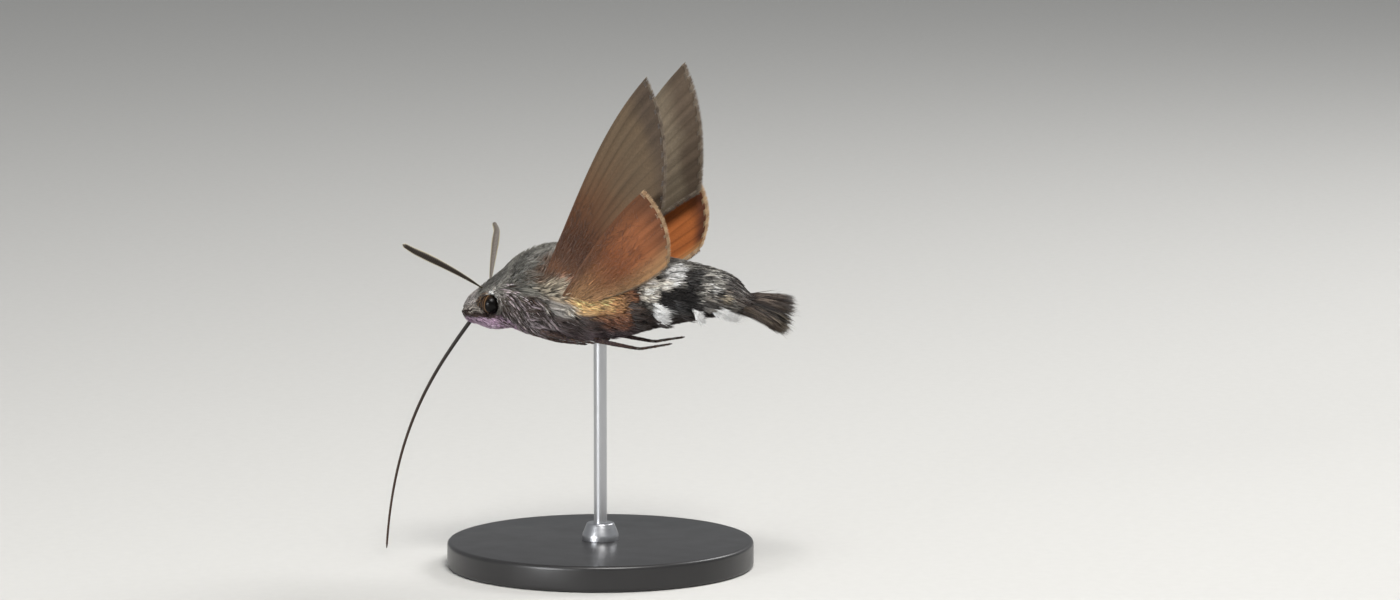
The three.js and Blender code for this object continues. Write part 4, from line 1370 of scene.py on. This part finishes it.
def wing_hair(wing, face, painted, reach, count):
    """Hair that runs out from the wing's root over one face, thinner further out."""
    r = reach * (1 - rng.random(count) ** 0.4) - 0.02
    w = rng.uniform(0.02, 0.98, count)
    out = np.clip(r / reach, 0, 1)
    step = rng.uniform(1.0, 2.2, count) * mix(1.0, 0.25, out) / wing.length
    drift = np.clip(w + rng.normal(0, 0.04, count), 0.01, 0.98) - w
    lift = rng.uniform(0.03, 0.16, count) * mix(1.6, 0.1, out)
    p0 = wing.at(w, r)
    p1 = wing.at(w + drift * 0.5, r + step * 0.5, face * (0.05 + lift))
    p2 = wing.at(w + drift, r + step, face * (0.04 + lift * 0.5))
    spread = 0.24 * (1 - out) ** 2 + 0.04
    tone = np.exp(spread * rng.normal(0, 1, count))
    tints = root_shaded_tip_lit(painted(w, np.clip(r + step, 0, 1)), 0.85, 1.12, 0.04, tone)
    width = rng.uniform(0.06, 0.11, count) * mix(1.0, 0.4, out)
    return tufts((p0, p1, p2), wing.up * face, width, tints, face_spot(w, r, face))


# Each wing's plan, its upper and lower face's colours, its slot, the fringe's pale and dark
# scales, and the root hair's reach and number on each face.
WINGS = {
    "forewing": (
        FOREWING,
        (fore_above, fore_below),
        "wing_brown",
        (paint(104, 92, 78), paint(84, 71, 59)),
        ((0.2, 700), (0.5, 1800)),
    ),
    "hindwing": (
        HINDWING,
        (hind_above, hind_below),
        "wing_orange",
        (paint(172, 144, 112), paint(152, 122, 92)),
        ((0.35, 900), (0.95, 2200)),
    ),
}


def wings():
    """Each wing's plate, and one piece for its fringe and the hair over its root."""
    scales = {kind: wing_material(kind + "_scales", kind == "forewing") for kind in WINGS}
    for side, end in ENDS:
        for kind, (plan, painted, slot, edging, hairs) in WINGS.items():
            wing = Wing(plan, side)
            name = f"{kind}_{end}"
            wing_plate(wing, painted, name + "_plate", scales[kind], slot, name)
            coat = fringe(wing, *edging)
            for face, colours, hair in zip((1, -1), painted, hairs):
                coat.append(wing_hair(wing, face, colours, *hair))
            coat_piece(name + "_fringe", coat, LONG_SCALES, slot)


# Eyes, feelers, tongue and legs

def eye_material():
    """The eye's painted tint, finely faceted and glossy."""
    shader = Shader("eye_facets")
    inputs = {"Scale": 26000, "Vector": shader.place()}
    cells = shader.add("TexVoronoi", inputs, feature="DISTANCE_TO_EDGE").outputs["Distance"]
    shader.grained(cells, 0.0, 0.15, 0.7, 1.1)
    shader.gloss(0.22, 0.16)
    shader.bump(cells, 0.25, 0.00002)
    return shader.material


def eye_tint(y, z):
    """Near black in the middle, and brown towards the face, with two curved pale-brown lines there that are
    painted glints.
    """
    middle = np.hypot((y - 0.25) / 0.62, (z + 0.1) / 0.85)
    brown = smoothstep(middle, 0.85, 1.1) * smoothstep(-y, -0.5, 0.1)
    # Two curved pale-brown lines over the brown part: painted glints.
    line = smoothstep(np.abs(y + 0.42 - 0.3 * z**2), 0.07, 0.01)
    line = np.maximum(line, 0.6 * smoothstep(np.abs(y + 0.68 - 0.3 * z**2), 0.06, 0.01))
    tint = blend(paint(8, 6, 5), paint(40, 28, 20), brown)
    return blend(tint, paint(128, 98, 66), 0.7 * line * brown)


def eyes():
    """Bulging eyeballs."""
    material = eye_material()
    rings, sides = 48, 64
    polar = np.linspace(0.02, math.pi - 0.02, rings)[:, None]
    turn = (np.arange(sides) * 2 * math.pi / sides)[None, :]
    out = np.cos(polar) + 0 * turn
    for side, end in ENDS:
        ball = np.stack([out * side, np.sin(polar) * np.cos(turn), np.sin(polar) * np.sin(turn)], axis=-1)
        ball = ball.reshape(-1, 3)
        faces = capped(rings, sides)
        faces = turned_over(faces) if side > 0 else faces
        points = ball * EYE["radius"] + eye_centre(side)
        piece = mesh_piece(f"eye_ball_{end}", points, faces, eye_tint(ball[:, 1], ball[:, 2]))
        finished(piece, material, "eye", f"eye_{end}")


def feeler_line(side, tip, hook, t):
    """A feeler's centre line, bowed up, with its hook."""
    root, tip = np.array(FEELER["root"]) * (side, 1, 1), np.array(tip)
    lift = np.array([0, 0, FEELER["bow"]])
    course = [root, mix(root, tip, 1 / 3) + lift, mix(root, tip, 2 / 3) + lift * 0.6, tip]
    return bezier(course, t) + smoothstep(t, 0.8, 1.0)[:, None] ** 2 * np.array(hook)


def feelers():
    """Ringed clubs with a small hook, and pale edges that are painted highlights along the sides seen edge-on
    from the camera.
    """
    sides = FEELER["sides"]
    t = np.linspace(0, 1, 280)
    rings = np.sin(t * 2 * math.pi * FEELER["rings"])
    radius = np.interp(t, *zip(*CLUB)) * np.sqrt(1 - 0.85 * smoothstep(t, 0.975, 1))
    for side, end in ENDS:
        tip, hook, edge, horn = FEELER_ENDS[end]
        centres = feeler_line(side, tip, hook, t)
        points, faces = tube(centres, radius * (1 + 0.06 * rings), sides)
        out = unit(points - np.repeat(centres, sides, axis=0))
        # Painted edge highlights: pale where the surface faces across the camera's view.
        pale = smoothstep(np.abs(out @ np.array(edge)), 0.76, 0.96)
        tint = blend(paint(*horn), paint(206, 194, 162), 0.85 * pale)
        tint = tint * (0.88 + 0.12 * np.repeat(rings, sides))[:, None]
        finished(mesh_piece(f"feeler_{end}", points, faces, tint), HORN, "horn", f"antenna_{end}")


def grooved(turns):
    """A tongue's cross-section, pinched where its two halves meet."""
    return 1 - 0.16 * np.exp(-((np.sin(turns) / 0.25) ** 2))


def tongue():
    """Two half tubes side by side, finely ringed."""
    sides = 20
    t = np.linspace(0, 1, 420)
    radius = mix(0.2, 0.1, t**0.8) * (1 + 0.035 * np.sin(t * 2 * math.pi * 130))
    radius[-6:] *= np.linspace(1, 0.35, 6)
    points, faces = tube(bezier(TONGUE, t), radius, sides, grooved)
    along = np.repeat(smoothstep(t, 0.1, 1.0), sides)
    tint = blend(paint(30, 22, 18), paint(56, 39, 28), along)
    finished(mesh_piece("tongue", points, faces, tint), HORN, "horn", "proboscis")


def leg_tufts(number, side, name):
    """Close-lying scales over one leg, paler in rings towards its foot."""
    centres, radii = leg_line(name, side)
    count = COUNT["leg"]
    place = rng.uniform(0.02, 0.97, count) * (len(centres) - 1)
    turn = rng.uniform(0, 2 * math.pi, count)
    index = place.astype(int)
    part = place - index
    tangent = unit(centres[index + 1] - centres[index])
    level = unit(np.cross(tangent, (0.2, 0.1, 1.0)))
    normal = np.cos(turn)[:, None] * level + np.sin(turn)[:, None] * np.cross(tangent, level)
    radius = mix(radii[index], radii[index + 1], part)
    length = rng.uniform(0.2, 0.36, count) * (0.5 + radius * 2)
    p0 = blend(centres[index], centres[index + 1], part) + normal * (radius * 0.85)[:, None]
    p1 = p0 + tangent * (length * 0.5)[:, None] + normal * 0.04
    p2 = p0 + tangent * length[:, None] + normal * rng.uniform(0.0, 0.05, (count, 1))
    share = place / len(centres)
    ringed = (np.sin(share * 60) > 0.4) & (share > 0.6)
    tint = mix(np.where(ringed[:, None], GREY, BROWN), DARK_BROWN, 0.5)
    tints = root_shaded_tip_lit(tint)
    width = rng.uniform(0.05, 0.08, count)
    spot = np.stack([(number + 0.05 + 0.9 * share) / 6, 0.02 + 0.95 * turn / (2 * math.pi)], axis=1)
    return tufts((p0, p1, p2), normal, width, tints, spot, stations=FEW_STATIONS)


def leg_coat():
    legs = enumerate((side, name) for side, _ in ENDS for name in LEGS)
    batches = [leg_tufts(number, *leg) for number, leg in legs]
    coat_piece("coat_legs", batches, COAT, "leg")


# Stand

def lathe(name, outline, sides):
    """A turned form about the stand's axis, from radii and heights above the floor."""
    radius, height = np.array(outline, float).T
    turns = np.arange(sides) * 2 * math.pi / sides
    x = radius[:, None] * np.cos(turns)
    y = radius[:, None] * np.sin(turns)
    z = height[:, None] - AXIS_HEIGHT + 0 * turns
    points = np.stack([x, y, z], axis=-1).reshape(-1, 3)
    piece = mesh_piece(name, points, capped(len(outline), sides))
    piece.data.set_sharp_from_angle(angle=35 * DEG)
    return piece


def rounded(points, radius, cuts=6):
    """An outline with its middle corners rounded."""
    points = np.array(points, float)
    out = [points[0]]
    for before, corner, after in zip(points, points[1:], points[2:]):
        start = corner + unit(before - corner) * radius
        end = corner + unit(after - corner) * radius
        out += [bezier((start, corner, end), t) for t in np.linspace(0, 1, cuts)]
    return out + [points[-1]]


def lacquer():
    """Satin black lacquer, slightly uneven in its gloss."""
    shader = Shader("stand_lacquer")
    cloud = shader.noise(350.0, 5.0)
    colour = shader.blended(cloud, paint(30, 29, 30), paint(42, 41, 41))
    roughness = shader.ranged(cloud, 0, 1, 0.26, 0.42)
    shader.fill(shader.surface, {"Base Color": colour, "Roughness": roughness})
    return shader.material


def steel():
    """Steel brushed round the rod."""
    shader = Shader("stand_brushed_steel")
    stretch = shader.add("Mapping", {"Scale": (600, 600, 9000), "Vector": shader.place()})
    brush = shader.noise(1.0, 3.0, stretch.outputs["Vector"])
    roughness = shader.ranged(brush, 0, 1, 0.22, 0.42)
    shader.fill(shader.surface, {"Roughness": roughness, "Base Color": paint(186, 187, 190), "Metallic": 1.0})
    shader.bump(brush, 0.1, 0.00002)
    return shader.material


def stand():
    """A lacquered disc, and a steel collar and rod up into the breast."""
    top, radius, rod = STAND["base_height"], STAND["base_radius"], STAND["rod_radius"]
    disc = [(0.01, 0), (radius, 0), (radius, top), (0.01, top)]
    finished(lathe("stand_disc", rounded(disc, STAND["bevel"]), 160), lacquer(), "stand_black", "stand_base")
    metal = steel()
    wide, high = STAND["collar_radius"], top + STAND["collar_height"]
    foot = [
        (rod * 0.9, top - 0.05),
        (wide, top - 0.05),
        (wide * 0.98, top + 0.5),
        (wide * 0.72, high),
        (rod * 0.9, high),
    ]
    finished(lathe("stand_foot", rounded(foot, 0.12), 96), metal, "stand_steel", "stand_collar")
    belly = AXIS_HEIGHT + BODY.at(0.0, -math.pi / 2)[2] + 0.3
    pin = [(0.01, top), (rod, top), (rod, belly), (0.01, belly)]
    finished(lathe("stand_pin", pin, 48), metal, "stand_steel", "stand_rod")


# Set

def floor():
    """Pale paper, wide enough to fill the view."""
    size = 4.0
    mesh = bpy.data.meshes.new("floor")
    corners = [(-size, -size, 0), (size, -size, 0), (size, size, 0), (-size, size, 0)]
    mesh.from_pydata(corners, [], [(0, 1, 2, 3)])
    plane = placed("floor", mesh)
    shader = Shader("floor_paper")
    fibre = shader.noise(900.0, 4.0)
    colour = shader.blended(fibre, paint(194, 193, 190), paint(200, 199, 196))
    shader.fill(shader.surface, {"Base Color": colour})
    shader.gloss(0.9, 0.1)
    mesh.materials.append(shader.material)


def aimed(piece, back):
    """Turns a light or the camera, which lies along back from what it looks at."""
    piece.rotation_mode = "QUATERNION"
    piece.rotation_quaternion = (-Vector(back)).to_track_quat("-Z", "Y")


def area_light(name, place, size, energy, colour=(1, 1, 1), spread=180):
    """A round soft light that faces the animal; place and size are in metres."""
    data = bpy.data.lights.new(name, "AREA")
    data.shape = "DISK"
    data.size = size
    data.energy = energy
    data.spread = spread * DEG
    data.color = colour
    light = placed(name, data)
    light.location = place
    aimed(light, Vector(place) - Vector((0, 0, AXIS_HEIGHT * MM)))


def lights():
    """A warm key, a cool front light, a rim light and a pale sky."""
    area_light("key", (0.20, 0.12, 0.42), 0.2, 2.15, (1.0, 0.985, 0.96))
    area_light("front", (0.42, -0.2, 0.1), 0.18, 0.165, (0.97, 0.985, 1.0), 60)
    area_light("rim", (-0.26, 0.22, 0.3), 0.2, 1.0)
    world = bpy.data.worlds.new("studio")
    world.use_nodes = True
    sky = world.node_tree.nodes["Background"]
    sky.inputs["Color"].default_value = (0.86, 0.88, 0.9, 1)
    sky.inputs["Strength"].default_value = 0.36
    bpy.context.scene.world = world
    bpy.context.scene.view_settings.view_transform = "Standard"


# The photograph's view: its frame in pixels, its scale, and where the body's frame starts.
PHOTO_WIDTH, PHOTO_HEIGHT = 1400, 600
PIXELS_PER_MM = 11.0
BODY_PIXEL = (600, 300)
AZIMUTH, ELEVATION = 105 * DEG, 8 * DEG
DISTANCE = 600.0


def camera():
    """The camera, at the photograph's angle, scale and framing."""
    data = bpy.data.cameras.new("camera")
    data.sensor_width = 36.0
    data.lens = data.sensor_width * DISTANCE / (PHOTO_WIDTH / PIXELS_PER_MM)
    data.clip_start, data.clip_end = 0.01, 10
    level = math.cos(ELEVATION)
    back = np.array([math.sin(AZIMUTH) * level, -math.cos(AZIMUTH) * level, math.sin(ELEVATION)])
    right = np.array([math.cos(AZIMUTH), math.sin(AZIMUTH), 0])
    aside = (PHOTO_WIDTH / 2 - BODY_PIXEL[0]) / PIXELS_PER_MM
    above = (BODY_PIXEL[1] - PHOTO_HEIGHT / 2) / PIXELS_PER_MM
    aim = np.array([0, 0, AXIS_HEIGHT]) + right * aside + np.cross(back, right) * above
    piece = placed("camera", data)
    piece.location = (aim + back * DISTANCE) * MM
    aimed(piece, back)
    bpy.context.scene.camera = piece


body_skin()
body_coat()
tail_fan()
wings()
eyes()
feelers()
tongue()
leg_coat()
stand()
floor()
lights()
camera()
